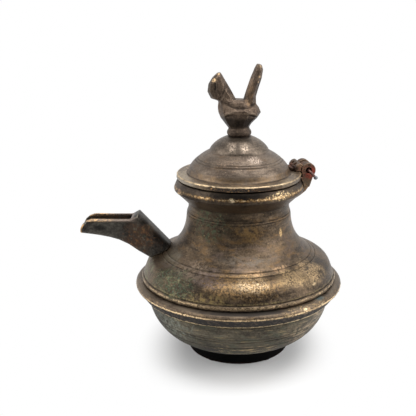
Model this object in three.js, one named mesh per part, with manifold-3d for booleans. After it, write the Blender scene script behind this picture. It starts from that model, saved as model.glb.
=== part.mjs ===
// A small cast and turned brass water pot: a belly in two cast shells joined under a ring, a low foot,
// a waisted neck in a mouth collar, a faceted beak of a spout, and a domed lid with a bird for a knob.
// The lid turns on a loose wire pin in a two-eared bracket. Millimetres, +Z up, the origin on the pot's
// axis at the face it stands on, and the spout along -X.
import * as THREE from "three";
import { mergeVertices } from "three/addons/utils/BufferGeometryUtils.js";
import Module from "manifold-3d";

// Fits
const GAP = 0.3; // between pieces that touch
const RUNNING_GAP = 0.4; // round the hinge, which turns
const TURNS = 48; // facets of a turned piece
const CURVE_STEPS = 6; // steps of each curved stretch of a profile

// Foot
const FOOT_RADIUS = 31.9;
const FOOT_HEIGHT = 8.6;
const FOOT_WALL = 3.2;
const FOOT_FLOOR = 2.2;
const FOOT_CHAMFER = 0.8;
const FOOT_HOLLOW = 1.6; // how far its side is drawn in

// Belly
const WALL = 2.6;
const BOWL_FLOOR_RADIUS = 31.2;
const BOWL_EDGE_RADIUS = 56.6; // the worn edge where the bowl ends below the cove
const BOWL_EDGE_HEIGHT = 26.8; // above the foot
const BOWL_EDGE_STEP = 0.4; // from that edge in to the seam's outside
const SEAM_HEIGHT = 7.7; // from the bowl's edge up to the seam
const BAND_WIDTH = 8.2; // from its inside out to its edge
const BAND_BELOW = 4.7; // from the seam down to the foot of the band's cove
const BAND_ABOVE = 4.1; // from the seam up to the band's top
const BEAD_WIDTH = 4.5; // from the seam's outside to the bead's
const BEAD_HEIGHT = 2.3;
const BEAD_ROUND = 0.5;

// Shoulder and neck
const SHOULDER_RADIUS = 49.2; // where the round shoulder turns into the hollow sweep to the neck
const SHOULDER_RISE = 12.8; // from the bead's top to that turn
const SWEEP_RISE = 26.7; // from that turn to the neck's incised lines
const NECK_RADIUS = 31;
const NECK_WALL = 2.6;
const NECK_STEP = 3;
const NECK_FLARE = 1.1; // how far the sweep's top stands out from the neck
const NECK_HEIGHT = 18; // plain tube above the step, through the collar to the mouth

// Mouth collar
const COLLAR_WIDTH = 8.6; // from the neck out to the collar's edge
const COLLAR_HEIGHT = 12.7;
const COLLAR_UNDER = 6.6; // height of its sloping underside
const COLLAR_BEAD = 1.2; // height of its widest part
const COLLAR_LEAN = 1.9; // how far its face leans in above that
const COLLAR_CHAMFER = 0.6;
const MOUTH_PROUD = 0.3; // how far the mouth stands above the collar

// Lid
const FLANGE_INSET = 1.7; // from the collar's edge in to the flange's
const FLANGE_THICKNESS = 3.1;
const FLANGE_CHAMFER = 0.5;
const LID_LAP = 0.4; // how far the lid's underside reaches in over the mouth
const DOME_FOOT_WALL = 2.7;
const DOME_FILLET = 0.8;
const DOME_STEP = 1.4;
const DOME_RISE = 12.4;
const LID_WALL = 1.8;
const SEAT_RADIUS = 17.6;
const SEAT_RISE = 8.3;
const SEAT_EDGE = 0.8;

// Bird knob, its tenon and the washer under it
const TENON_RADIUS = 2.1;
const TENON_HEAD_WIDTH = 1.1; // how far the beaten head stands out
const TENON_HEAD_HEIGHT = 1.2;
const WASHER_WIDTH = 4.1;
const WASHER_THICKNESS = 1.6;
const WASHER_ROOM = 1.5; // flat ceiling left round the washer
const KNOB_RADIUS = 7.45;
const KNOB_HEIGHT = 5;
const KNOB_ROUND = 0.8;
const WAIST_RADIUS = 6;
const BIRD_HEIGHT = 42.6; // from the knob's foot to the tip of the tail

// Spout
const SPOUT_ROOT_RISE = 0.2; // where it is measured from, on the shoulder, this far above the shoulder's turn
const SPOUT_REACH = 47.9; // from there to the lip
const SPOUT_HALF_WIDTH = 7.7;
const SPOUT_BEVEL = 1.8;
const SPOUT_CROWN = 3.8; // bevel along the top of the hood
const SPOUT_WALL = 2.3;
const LIP_DROP = 0.6; // how far the channel falls beyond the lip

// Hinge
const HINGE_AZIMUTH = 12; // degrees from +X towards +Y: the photographed pot's hinge stands a little round the back
const HINGE_UP = 0.7; // from the flange's top up to the pin
const EAR_RADIUS = 4.1;
const EAR_THICKNESS = 4.5;
const KNUCKLE_HALF = 2.8;
const KNUCKLE_INSET = 0.3; // how much smaller the knuckle is than the ears
const BRACKET_LAP = 4.6; // how far the saddle reaches in over the collar
const BRACKET_WALL = 1.1;
const BRACKET_DROP = 7.3; // from the collar's top down to the saddle's foot
const WEB_ROOM = 1; // between the knuckle and the web under it
const BORE_RADIUS = 1.7;
const PIN_RADIUS = 0.9;
const PIN_BEND = 1.9;
const PIN_TAIL = 5.6; // from the pin's axis to the middle of its blob
const PIN_TAIL_ANGLE = -48; // degrees below straight out from the pot
const PIN_BLOB_RADIUS = 1.25;
const PIN_HEAD_RADIUS = 2.3;
const PIN_HEAD_THICKNESS = 1;
const LEAF_HALF_WIDTH = 4.8;
const LEAF_THICKNESS = 1.8;
const RIVET_RADIUS = 1;
const RIVET_HEAD_RADIUS = 1.6;
const RIVET_HEAD_HEIGHT = 0.9;
const RIVET_HALF_SPACING = 2.6;

// Radii that follow from the sizes above
const seamRadius = BOWL_EDGE_RADIUS - BOWL_EDGE_STEP;
const bandInside = seamRadius + GAP;
const beadRadius = seamRadius + BEAD_WIDTH;
const sweepTopRadius = NECK_RADIUS + NECK_FLARE;
const mouthRadius = NECK_RADIUS - NECK_WALL;
const collarRadius = NECK_RADIUS + COLLAR_WIDTH;
const flangeRadius = collarRadius - FLANGE_INSET;
const lidInside = mouthRadius - LID_LAP;
const domeRadius = lidInside + DOME_FOOT_WALL;
const tenonHole = TENON_RADIUS + GAP;
const washerRadius = tenonHole + WASHER_WIDTH;
const seatTopRadius = KNOB_RADIUS - KNOB_ROUND / 3;
const rivetHole = RIVET_RADIUS + GAP;
const rivetSink = RIVET_HEAD_RADIUS + GAP; // the hole's countersink at the flange's foot

// Heights that follow from them
const bowlFloor = FOOT_HEIGHT + GAP;
const bowlEdge = FOOT_HEIGHT + BOWL_EDGE_HEIGHT;
const seam = bowlEdge + SEAM_HEIGHT;
const bandFoot = seam - BAND_BELOW;
const bandTop = seam + BAND_ABOVE;
const beadFoot = bandTop + GAP;
const beadTop = beadFoot + BEAD_HEIGHT;
const shoulderTurn = beadTop + SHOULDER_RISE;
const sweepTop = shoulderTurn + SWEEP_RISE;
const neckFoot = sweepTop + NECK_STEP;
const mouth = neckFoot + NECK_HEIGHT;
const collarTop = mouth - MOUTH_PROUD;
const collarFoot = collarTop - COLLAR_HEIGHT;
const flangeFoot = mouth + GAP;
const flangeTop = flangeFoot + FLANGE_THICKNESS;
const domeFoot = flangeTop + DOME_STEP;
const domeTop = domeFoot + DOME_RISE;
const lidCeiling = domeTop - LID_WALL;
const washerTop = lidCeiling - GAP;
const tenonHeadTop = washerTop - WASHER_THICKNESS - GAP;
const seatFoot = domeTop + GAP;
const seatTop = seatFoot + SEAT_RISE;
const knobFoot = seatTop + GAP;

// The hinge's places, before it is turned to its azimuth
const earClear = EAR_RADIUS + RUNNING_GAP;
const earInner = KNUCKLE_HALF + GAP;
const earOuter = earInner + EAR_THICKNESS;
const hingeX = flangeRadius + EAR_RADIUS + RUNNING_GAP - GAP;
const hingeZ = flangeTop + HINGE_UP;
const leafInner = domeRadius + DOME_FILLET + GAP;
const leafOuter = hingeX - EAR_RADIUS - 2 * GAP;
const leafFoot = flangeTop + GAP;
const rivetX = (leafInner + leafOuter) / 2;

// The main curves, each as the two control points' shares of the way from its start to its end
const BOWL_CURVE = [0.551, 0.023, 0.969, 0.521];
const SHOULDER_CURVE = [0.319, 0.359, 0.142, 0.813];
const SWEEP_CURVE = [0.462, 0.169, 0.977, 0.408];
const DOME_CURVE = [0.031, 0.347, 0.511, 0.75];
const CEILING_CURVE = [0.58, 0.083, 0.98, 0.55];

const wasm = await Module();
wasm.setup();

// Materials
function bronze(colour, roughness, metalness) {
  return new THREE.MeshStandardMaterial({ color: colour, roughness, metalness });
}
const patina = bronze(0x6a5c4a, 0.5, 0.85);
const darkPatina = bronze(0x35302a, 0.6, 0.7);
const wornBrass = bronze(0x9a7c4e, 0.4, 0.9);
const rustyIron = bronze(0x5e4238, 0.65, 0.75);

// Booleans
function toManifold(geometry) {
  const bare = geometry.index ? geometry.toNonIndexed() : geometry.clone();
  bare.deleteAttribute("normal");
  bare.deleteAttribute("uv");
  const merged = mergeVertices(bare, 1e-3);
  return new wasm.Manifold(
    new wasm.Mesh({
      numProp: 3,
      vertProperties: merged.attributes.position.array,
      triVerts: new Uint32Array(merged.index.array),
    }),
  );
}

function toGeometry(manifold) {
  const mesh = manifold.getMesh();
  const geometry = new THREE.BufferGeometry();
  geometry.setAttribute("position", new THREE.BufferAttribute(mesh.vertProperties, 3));
  geometry.setIndex(new THREE.BufferAttribute(mesh.triVerts, 1));
  geometry.computeVertexNormals();
  return geometry;
}

// A curve on to a point, with its controls as shares of the way there
function bend(path, x, y, [across1, up1, across2, up2]) {
  const { x: fromX, y: fromY } = path.currentPoint;
  const width = x - fromX;
  const height = y - fromY;
  path.bezierCurveTo(
    fromX + across1 * width, fromY + up1 * height,
    fromX + across2 * width, fromY + up2 * height,
    x, y,
  );
}

// The same curve's shares when it is drawn the other way
function backwards([across1, up1, across2, up2]) {
  return [1 - across2, 1 - up2, 1 - across1, 1 - up1];
}

// A turned solid from a profile of (radius, height) points that starts and ends on the axis or closes on itself
function turned(points, turns = TURNS) {
  const geometry = new THREE.LatheGeometry(points, turns);
  return geometry.rotateX(Math.PI / 2);
}

function closed(path) {
  const points = path.getPoints(CURVE_STEPS);
  return [...points, points[0].clone()];
}

// A solid through sections of equally many points, each section wound alike, with flat ends
function lofted(sections) {
  const count = sections[0].length;
  const last = sections.length - 1;
  const positions = sections.flat().flatMap((point) => point.toArray());
  const faces = [];
  for (let s = 0; s < last; s++) {
    for (let k = 0; k < count; k++) {
      const a = s * count + k;
      const b = s * count + ((k + 1) % count);
      faces.push(a, b, b + count, a, b + count, a + count);
    }
  }
  for (let k = 1; k < count - 1; k++) {
    faces.push(0, k + 1, k);
    faces.push(last * count, last * count + k, last * count + k + 1);
  }
  const geometry = new THREE.BufferGeometry();
  geometry.setAttribute("position", new THREE.Float32BufferAttribute(positions, 3));
  geometry.setIndex(faces);
  return geometry;
}

// A slab with a given outline in X and Z, from -half to +half along Y
function slab(outline, half) {
  const shape = new THREE.Shape(outline.map(([x, z]) => new THREE.Vector2(x, z)));
  const geometry = new THREE.ExtrudeGeometry(shape, { depth: 2 * half, bevelEnabled: false });
  return geometry.rotateX(Math.PI / 2).translate(0, half, 0);
}

// A round bar along Y, and one along Z
function rod(radius, from, to, sides = 20) {
  const geometry = new THREE.CylinderGeometry(radius, radius, to - from, sides);
  return geometry.translate(0, (from + to) / 2, 0);
}

function post(radius, from, to, sides = 16) {
  return rod(radius, from, to, sides).rotateX(Math.PI / 2);
}

function piece(name, geometry, material) {
  const mesh = new THREE.Mesh(geometry, material);
  mesh.name = name;
  return mesh;
}

// Foot: a low turned dish, closed below and open up to the bowl
function footRing() {
  const path = new THREE.Path();
  path.moveTo(0, 0);
  path.lineTo(FOOT_RADIUS - FOOT_CHAMFER, 0);
  path.lineTo(FOOT_RADIUS, FOOT_CHAMFER);
  path.quadraticCurveTo(FOOT_RADIUS - FOOT_HOLLOW, FOOT_HEIGHT / 2, FOOT_RADIUS - FOOT_CHAMFER, FOOT_HEIGHT);
  path.lineTo(FOOT_RADIUS - FOOT_WALL, FOOT_HEIGHT);
  path.lineTo(FOOT_RADIUS - FOOT_WALL, FOOT_FLOOR);
  path.lineTo(0, FOOT_FLOOR);
  return piece("foot", turned(path.getPoints(CURVE_STEPS)), darkPatina);
}

// Lower shell
function lowerBowl() {
  const ceiling = bowlFloor + WALL;
  const path = new THREE.Path();
  path.moveTo(0, bowlFloor);
  path.lineTo(BOWL_FLOOR_RADIUS, bowlFloor);
  bend(path, BOWL_EDGE_RADIUS, bowlEdge, BOWL_CURVE);
  path.lineTo(seamRadius, bowlEdge + 2 * BOWL_EDGE_STEP);
  path.lineTo(seamRadius, seam);
  path.lineTo(seamRadius - WALL, seam);
  path.lineTo(seamRadius - WALL, bowlEdge);
  bend(path, BOWL_FLOOR_RADIUS - WALL / 2, ceiling, backwards(BOWL_CURVE));
  path.lineTo(0, ceiling);
  return piece("lower_bowl", turned(path.getPoints(CURVE_STEPS)), darkPatina);
}

// Ring over the seam: a hollow cove below, a worn edge and a round top
function bellyBand() {
  const out = (share) => bandInside + share * BAND_WIDTH;
  const up = (share) => bandFoot + share * (bandTop - bandFoot);
  const path = new THREE.Path();
  path.moveTo(bandInside, bandFoot);
  path.lineTo(out(0.09), bandFoot);
  path.quadraticCurveTo(out(0.21), up(0.33), out(0.83), up(0.44));
  path.lineTo(out(0.95), up(0.53));
  path.quadraticCurveTo(out(1.07), up(0.78), out(0.71), up(0.98));
  path.lineTo(out(0.46), bandTop);
  path.lineTo(bandInside, bandTop);
  return piece("belly_band", turned(closed(path)), wornBrass);
}

// The upper shell's outside, from the bead at the belly to the mouth, pushed out by a margin
function upperOutside(path, margin = 0) {
  path.lineTo(beadRadius - BEAD_ROUND + margin, beadFoot - margin);
  path.lineTo(beadRadius + margin, beadFoot + 2 * BEAD_ROUND);
  path.lineTo(beadRadius - BEAD_ROUND / 2 + margin, beadTop + margin / 2);
  bend(path, SHOULDER_RADIUS + margin, shoulderTurn + margin, SHOULDER_CURVE);
  bend(path, sweepTopRadius + margin, sweepTop, SWEEP_CURVE);
  path.lineTo(NECK_RADIUS + margin, neckFoot);
  path.lineTo(NECK_RADIUS + margin, mouth);
}

// Upper shell: shoulder, neck and mouth in one casting, with the spout's way through the shoulder
function upperBody() {
  const path = new THREE.Path();
  path.moveTo(seamRadius - WALL, seam + GAP);
  path.lineTo(seamRadius, seam + GAP);
  path.lineTo(seamRadius, beadFoot);
  upperOutside(path);
  path.lineTo(mouthRadius, mouth);
  path.lineTo(mouthRadius, neckFoot);
  path.lineTo(sweepTopRadius - NECK_WALL, sweepTop);
  bend(path, SHOULDER_RADIUS - WALL / 2, shoulderTurn - WALL, backwards(SWEEP_CURVE));
  bend(path, beadRadius - WALL, beadTop + BEAD_ROUND, backwards(SHOULDER_CURVE));
  path.lineTo(seamRadius - WALL, beadFoot + WALL / 2);
  const shell = toManifold(turned(closed(path)));
  return piece("upper_body", toGeometry(shell.subtract(spoutBore())), patina);
}

// Ring round the mouth, which carries the hinge
function collarPath(margin) {
  const out = (share) => NECK_RADIUS + share * COLLAR_WIDTH + margin;
  const top = collarTop + margin;
  const path = new THREE.Path();
  path.moveTo(NECK_RADIUS + GAP, collarFoot);
  path.lineTo(out(0.28), collarFoot);
  path.quadraticCurveTo(out(0.6), collarFoot + 0.36 * COLLAR_UNDER, out(1), collarFoot + COLLAR_UNDER);
  path.lineTo(out(1), collarFoot + COLLAR_UNDER + COLLAR_BEAD);
  path.lineTo(out(1) - COLLAR_LEAN, top - COLLAR_CHAMFER);
  path.lineTo(out(1) - COLLAR_LEAN - COLLAR_CHAMFER, top);
  path.lineTo(NECK_RADIUS + GAP, top);
  return path;
}

function mouthCollar() {
  return piece("mouth_collar", turned(closed(collarPath(0))), patina);
}

// Sections of the spout in its side view, from inside the shoulder to the lip: [top, bottom] as [x, z] pairs
// measured from its place on the shoulder, all scaled so that the lip comes to SPOUT_REACH
const spoutPattern = [
  [[8.4, 2.5], [-1, -5.7]],
  [[4.4, 6.8], [-4.8, -1.7]],
  [[-4.5, 16.4], [-12.2, 3.4]],
  [[-12.9, 25.4], [-18.2, 7.6]],
  [[-17.5, 22.3], [-24.2, 10.4]],
  [[-30.3, 22.2], [-30.3, 12.1]],
  [[-36.4, 22.3], [-36.4, 13.3]],
  [[-41.2, 22.3], [-41.2, 14]],
  [[-44.6, 21.1], [-44.4, 14.5]],
  [[-46.9, 19], [-46.7, 14.9]],
  [[-47.9, 16.9], [-47.8, 15.1]],
];
const HOOD = 3; // the station at the hood's peak, where the roof ends
const spoutScale = -SPOUT_REACH / spoutPattern.at(-1)[0][0];
const spoutStations = spoutPattern.map((pair) => pair.map(([x, z]) => [x * spoutScale, z * spoutScale]));

// An eight-sided section between a top and a bottom point, wound alike at every station
function spoutSection(top, bottom, half, bevel, crown = bevel) {
  const height = Math.hypot(top[0] - bottom[0], top[1] - bottom[1]);
  const cut = Math.min(bevel, height / 3);
  const topCut = Math.min(crown, height / 3);
  const at = (t, y) =>
    new THREE.Vector3(bottom[0] + (top[0] - bottom[0]) * t, y, bottom[1] + (top[1] - bottom[1]) * t);
  return [
    at(0, cut - half), at(cut / height, -half), at(1 - topCut / height, -half), at(1, topCut - half),
    at(1, half - topCut), at(1 - topCut / height, half), at(cut / height, half), at(0, half - cut),
  ];
}

// Radius of the shoulder's outside at a height
function shoulderRadius(height) {
  const path = new THREE.Path();
  path.moveTo(beadRadius, bandTop);
  upperOutside(path);
  const points = path.getPoints(4 * CURVE_STEPS);
  const k = points.findIndex((point) => point.y > height);
  const share = (height - points[k - 1].y) / (points[k].y - points[k - 1].y);
  return points[k - 1].x + (points[k].x - points[k - 1].x) * share;
}

function spoutPlace() {
  const height = shoulderTurn + SPOUT_ROOT_RISE;
  return new THREE.Vector3(-shoulderRadius(height), 0, height);
}

// The closed part of the spout's bore, from inside the belly to the mouth under the hood
function spoutBore() {
  const at = spoutPlace();
  const half = SPOUT_HALF_WIDTH - SPOUT_WALL;
  const inset = (from, to) => {
    const length = Math.hypot(to[0] - from[0], to[1] - from[1]);
    const share = SPOUT_WALL / length;
    return [from[0] + (to[0] - from[0]) * share, from[1] + (to[1] - from[1]) * share];
  };
  const stations = spoutStations.slice(0, HOOD + 2);
  const sections = stations.map(([top, bottom]) =>
    spoutSection(inset(top, bottom), inset(bottom, top), half, SPOUT_BEVEL / 2),
  );
  const through = 2 * WALL;
  const inner = sections[0].map((point) => point.clone().add(new THREE.Vector3(through, 0, -through)));
  return toManifold(lofted([inner, ...sections]).translate(at.x, at.y, at.z));
}

// The open channel of the beak, up through its rim and out over the lip
function spoutChannel() {
  const at = spoutPlace();
  const half = SPOUT_HALF_WIDTH - SPOUT_WALL;
  const rear = spoutStations[HOOD + 1];
  const above = rear[0][1] + SPOUT_HALF_WIDTH;
  const tip = spoutStations.at(-1);
  const floors = spoutStations.slice(HOOD + 1).map(([, bottom]) => [bottom[0], bottom[1] + SPOUT_WALL]);
  floors[0][0] = rear[0][0];
  const lip = [tip[1][0] - SPOUT_WALL, floors.at(-1)[1] - LIP_DROP];
  const sections = [...floors, lip].map(([x, z]) => spoutSection([x, above], [x, z], half, SPOUT_BEVEL / 2));
  return toManifold(lofted(sections).translate(at.x, at.y, at.z));
}

function spout() {
  const at = spoutPlace();
  const sections = spoutStations.map(([top, bottom], k) =>
    spoutSection(top, bottom, SPOUT_HALF_WIDTH, SPOUT_BEVEL, k > HOOD ? SPOUT_BEVEL : SPOUT_CROWN),
  );
  const outside = toManifold(lofted(sections).translate(at.x, at.y, at.z));
  const path = new THREE.Path();
  path.moveTo(0, seam);
  path.lineTo(beadRadius, seam);
  upperOutside(path, GAP);
  path.lineTo(0, mouth);
  const shoulder = toManifold(turned(path.getPoints(CURVE_STEPS)));
  const shape = outside.subtract(spoutBore()).subtract(spoutChannel()).subtract(shoulder);
  return piece("spout", toGeometry(shape), darkPatina);
}

// Lid: flange, step and dome in one casting, notched at the flange's edge round the hinge
function lid() {
  const azimuth = THREE.MathUtils.degToRad(HINGE_AZIMUTH);
  const path = new THREE.Path();
  path.moveTo(tenonHole, lidCeiling);
  path.lineTo(washerRadius + WASHER_ROOM, lidCeiling);
  bend(path, lidInside, flangeTop, CEILING_CURVE);
  path.lineTo(lidInside, flangeFoot);
  path.lineTo(flangeRadius - FLANGE_CHAMFER, flangeFoot);
  path.lineTo(flangeRadius, flangeFoot + FLANGE_CHAMFER);
  path.lineTo(flangeRadius, flangeTop - FLANGE_CHAMFER);
  path.lineTo(flangeRadius - FLANGE_CHAMFER, flangeTop);
  path.lineTo(domeRadius + DOME_FILLET, flangeTop);
  path.lineTo(domeRadius, domeFoot);
  bend(path, SEAT_RADIUS, domeTop, DOME_CURVE);
  path.lineTo(tenonHole, domeTop);
  const notchHalf = earOuter + 2 * RUNNING_GAP;
  const notch = rod(earClear, -notchHalf, notchHalf, 40).translate(hingeX, 0, hingeZ).rotateZ(azimuth);
  let shape = toManifold(turned(closed(path))).subtract(toManifold(notch));
  for (const side of [-1, 1]) {
    const hole = post(rivetHole, flangeFoot - FLANGE_THICKNESS, domeFoot + FLANGE_THICKNESS);
    const sink = new THREE.CylinderGeometry(rivetHole, 2 * rivetSink - rivetHole, 2 * RIVET_HEAD_HEIGHT, 16);
    sink.rotateX(Math.PI / 2).translate(0, 0, flangeFoot);
    for (const cut of [hole, sink]) {
      cut.translate(rivetX, side * RIVET_HALF_SPACING, 0).rotateZ(azimuth);
      shape = shape.subtract(toManifold(cut));
    }
  }
  return piece("lid", toGeometry(shape), patina);
}

// Boss on top of the dome that the knob stands on
function finialSeat() {
  const width = SEAT_RADIUS - seatTopRadius;
  const path = new THREE.Path();
  path.moveTo(tenonHole, seatFoot);
  path.lineTo(SEAT_RADIUS, seatFoot);
  path.lineTo(SEAT_RADIUS, seatFoot + SEAT_EDGE);
  path.quadraticCurveTo(SEAT_RADIUS - 0.27 * width, seatTop - 0.34 * SEAT_RISE, seatTopRadius, seatTop);
  path.lineTo(tenonHole, seatTop);
  return piece("finial_seat", turned(closed(path), 40), patina);
}

// Bird: its side views are [front, back, half width] with [x, z] pairs above the knob's foot, all scaled so
// that the tail comes to BIRD_HEIGHT
const birdBody = [
  [[-6.2, 4.6], [5.6, 4.6], 5.7],
  [[-7.8, 7.2], [7.1, 7.2], 7.2],
  [[-9.9, 10.6], [10.8, 10.6], 8.9],
  [[-11.3, 14], [12.9, 14], 9.8],
  [[-11.9, 17], [11.6, 17], 8.8],
  [[-12.2, 20], [9.4, 20], 6.8],
  [[-10.4, 21.8], [7.4, 21.6], 4.4],
];
const birdHead = [
  [[-11.6, 17.4], [0.4, 18.4], 6.6],
  [[-12.8, 20.7], [-2.6, 22.9], 5.4],
  [[-17, 22], [-4.6, 26.7], 5.5],
  [[-19, 26], [-6.7, 30.2], 5.8],
  [[-18.4, 30.6], [-8.5, 33.2], 5.5],
  [[-16, 34.4], [-9.9, 35.6], 4.3],
  [[-13.4, 36.9], [-11.2, 37.5], 2.2],
];
const birdTail = [
  [[2.4, 18.6], [10.2, 18.6], 4.4],
  [[4, 22.9], [9.9, 23], 4.1],
  [[5.3, 28], [11.3, 27.7], 4.2],
  [[7.3, 34.4], [13.3, 34], 4],
  [[9.5, 40.4], [14, 39], 3.4],
  [[10.7, 42.6], [12.9, 41.8], 2.4],
];
const birdScale = BIRD_HEIGHT / birdTail.at(-1)[0][1];

// A section between a front and a back point in the side view, half as wide as given
function birdSection(front, back, half) {
  const middle = [(front[0] + back[0]) / 2, (front[1] + back[1]) / 2];
  const points = [];
  const sides = 10;
  for (let k = 0; k < sides; k++) {
    const turn = (2 * Math.PI * k) / sides;
    const along = Math.cos(turn);
    points.push(
      new THREE.Vector3(
        middle[0] + ((back[0] - front[0]) / 2) * along,
        half * Math.sin(turn),
        middle[1] + ((back[1] - front[1]) / 2) * along,
      ),
    );
  }
  return points;
}

function birdPiece(stations) {
  const sections = stations.map(([front, back, half]) => birdSection(front, back, half));
  const geometry = lofted(sections).scale(birdScale, birdScale, birdScale);
  return toManifold(geometry.translate(0, 0, knobFoot));
}

// Knob: the bird on its collar, cast in one with the tenon that is riveted over inside the lid
function finialBird() {
  const headRadius = TENON_RADIUS + TENON_HEAD_WIDTH;
  const headFoot = tenonHeadTop - TENON_HEAD_HEIGHT;
  const path = new THREE.Path();
  path.moveTo(0, headFoot);
  path.lineTo(headRadius - TENON_HEAD_HEIGHT / 2, headFoot);
  path.lineTo(headRadius, tenonHeadTop - TENON_HEAD_HEIGHT / 2);
  path.lineTo(headRadius, tenonHeadTop);
  path.lineTo(TENON_RADIUS, tenonHeadTop);
  path.lineTo(TENON_RADIUS, knobFoot);
  path.lineTo(KNOB_RADIUS - KNOB_ROUND, knobFoot);
  path.quadraticCurveTo(
    KNOB_RADIUS + KNOB_ROUND, knobFoot + 0.38 * KNOB_HEIGHT,
    WAIST_RADIUS + KNOB_ROUND / 2, knobFoot + 0.8 * KNOB_HEIGHT,
  );
  path.lineTo(WAIST_RADIUS, knobFoot + KNOB_HEIGHT);
  path.lineTo(WAIST_RADIUS, knobFoot + KNOB_HEIGHT + KNOB_ROUND);
  path.lineTo(0, knobFoot + KNOB_HEIGHT + KNOB_ROUND);
  const base = toManifold(turned(path.getPoints(CURVE_STEPS), 28));
  const shape = base.add(birdPiece(birdBody)).add(birdPiece(birdHead)).add(birdPiece(birdTail));
  return piece("finial_bird", toGeometry(shape), patina);
}

function finialWasher() {
  const path = new THREE.Path();
  path.moveTo(tenonHole, washerTop);
  path.lineTo(tenonHole, washerTop - WASHER_THICKNESS);
  path.lineTo(washerRadius, washerTop - WASHER_THICKNESS);
  path.lineTo(washerRadius, washerTop);
  return piece("finial_washer", turned(closed(path), 24), wornBrass);
}

// The hinge's pieces are made with the pin along Y, and turned to their azimuth at the end
function boreHole() {
  return toManifold(rod(BORE_RADIUS, -2 * earOuter, 2 * earOuter, 24).translate(hingeX, 0, hingeZ));
}

// Bracket on the collar: a saddle, a web and two ears
function hingeBracket() {
  const inner = flangeRadius + RUNNING_GAP;
  const reach = Math.acos((inner - hingeX) / EAR_RADIUS);
  const saddleFoot = collarTop - BRACKET_DROP;
  const saddleTop = collarTop + GAP;
  const outline = [
    [collarRadius - BRACKET_LAP, saddleTop],
    [collarRadius - BRACKET_LAP, saddleFoot],
    [collarRadius + BRACKET_WALL, saddleFoot],
    [collarRadius + 2.5 * BRACKET_WALL, (saddleFoot + collarTop) / 2],
    [hingeX + EAR_RADIUS / 2, collarTop],
  ];
  const steps = 18;
  const start = -Math.PI / 6;
  const end = 2 * Math.PI - reach;
  for (let k = 0; k <= steps; k++) {
    const turn = start + ((end - start) * k) / steps;
    outline.push([hingeX + EAR_RADIUS * Math.cos(turn), hingeZ + EAR_RADIUS * Math.sin(turn)]);
  }
  outline.push([inner, saddleTop]);
  const webTop = hingeZ - EAR_RADIUS + KNUCKLE_INSET - WEB_ROOM;
  const room = 5 * EAR_RADIUS;
  const slot = new THREE.BoxGeometry(room, 2 * earInner, room).translate(hingeX, 0, webTop + room / 2);
  const collar = toManifold(turned(closed(collarPath(GAP))));
  const shape = toManifold(slab(outline, earOuter))
    .subtract(toManifold(slot))
    .subtract(boreHole())
    .subtract(collar);
  return piece("hinge_bracket", toGeometry(shape), rustyIron);
}

// Leaf on the lid's flange with the knuckle between the ears
function hingeLeaf() {
  const middle = leafFoot + LEAF_THICKNESS / 2;
  const plate = new THREE.BoxGeometry(leafOuter - leafInner, 2 * LEAF_HALF_WIDTH, LEAF_THICKNESS);
  plate.translate(rivetX, 0, middle);
  const neck = new THREE.BoxGeometry(hingeX - rivetX, 2 * KNUCKLE_HALF, LEAF_THICKNESS);
  neck.translate((hingeX + rivetX) / 2, 0, middle);
  const knuckle = rod(EAR_RADIUS - KNUCKLE_INSET, -KNUCKLE_HALF, KNUCKLE_HALF, 28);
  knuckle.translate(hingeX, 0, hingeZ);
  let shape = toManifold(plate).add(toManifold(neck)).add(toManifold(knuckle)).subtract(boreHole());
  for (const side of [-1, 1]) {
    const hole = post(rivetHole, leafFoot - LEAF_THICKNESS, leafFoot + 2 * LEAF_THICKNESS);
    hole.translate(rivetX, side * RIVET_HALF_SPACING, 0);
    shape = shape.subtract(toManifold(hole));
  }
  return piece("hinge_leaf", toGeometry(shape), rustyIron);
}

// Rivet through leaf and flange, with a round head above and its foot beaten flush into the flange
function leafRivet(number, side) {
  const top = leafFoot + LEAF_THICKNESS + GAP;
  const path = new THREE.Path();
  path.moveTo(0, flangeFoot);
  path.lineTo(RIVET_HEAD_RADIUS, flangeFoot);
  path.lineTo(RIVET_RADIUS, flangeFoot + RIVET_HEAD_HEIGHT);
  path.lineTo(RIVET_RADIUS, top);
  path.lineTo(RIVET_HEAD_RADIUS, top);
  path.quadraticCurveTo(RIVET_HEAD_RADIUS, top + RIVET_HEAD_HEIGHT, 0, top + RIVET_HEAD_HEIGHT);
  const mesh = piece("leaf_rivet_" + number, turned(path.getPoints(3), 12), wornBrass);
  mesh.position.set(rivetX, side * RIVET_HALF_SPACING, 0);
  return mesh;
}

// Loose wire pin: a beaten head at the back, and in front a bent tail that ends in a blob
function hingePin() {
  const tail = THREE.MathUtils.degToRad(PIN_TAIL_ANGLE);
  const out = (reach, y) => new THREE.Vector3(Math.cos(tail) * reach, y, Math.sin(tail) * reach);
  const headFoot = earOuter + GAP;
  const front = -earOuter - GAP - PIN_RADIUS - PIN_BLOB_RADIUS;
  const route = new THREE.CatmullRomCurve3(
    [
      out(0, headFoot + PIN_HEAD_THICKNESS / 2),
      out(0, 0),
      out(0, front + PIN_BEND),
      out(0.7 * PIN_BEND, front + 0.2 * PIN_BEND),
      out(PIN_TAIL, front),
    ],
    false,
    "centripetal",
  );
  const section = new THREE.Shape();
  section.absarc(0, 0, PIN_RADIUS, 0, 2 * Math.PI);
  const wire = new THREE.ExtrudeGeometry(section, { steps: 20, curveSegments: 5, extrudePath: route });
  const blob = new THREE.SphereGeometry(PIN_BLOB_RADIUS, 12, 8).translate(...out(PIN_TAIL, front).toArray());
  const head = rod(PIN_HEAD_RADIUS, headFoot, headFoot + PIN_HEAD_THICKNESS, 16);
  const shape = toManifold(wire).add(toManifold(blob)).add(toManifold(head));
  const mesh = piece("hinge_pin", toGeometry(shape), rustyIron);
  mesh.position.set(hingeX, 0, hingeZ);
  return mesh;
}

const hinge = new THREE.Group();
hinge.add(hingeBracket(), hingeLeaf(), leafRivet(1, -1), leafRivet(2, 1), hingePin());
hinge.rotation.z = THREE.MathUtils.degToRad(HINGE_AZIMUTH);

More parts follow.
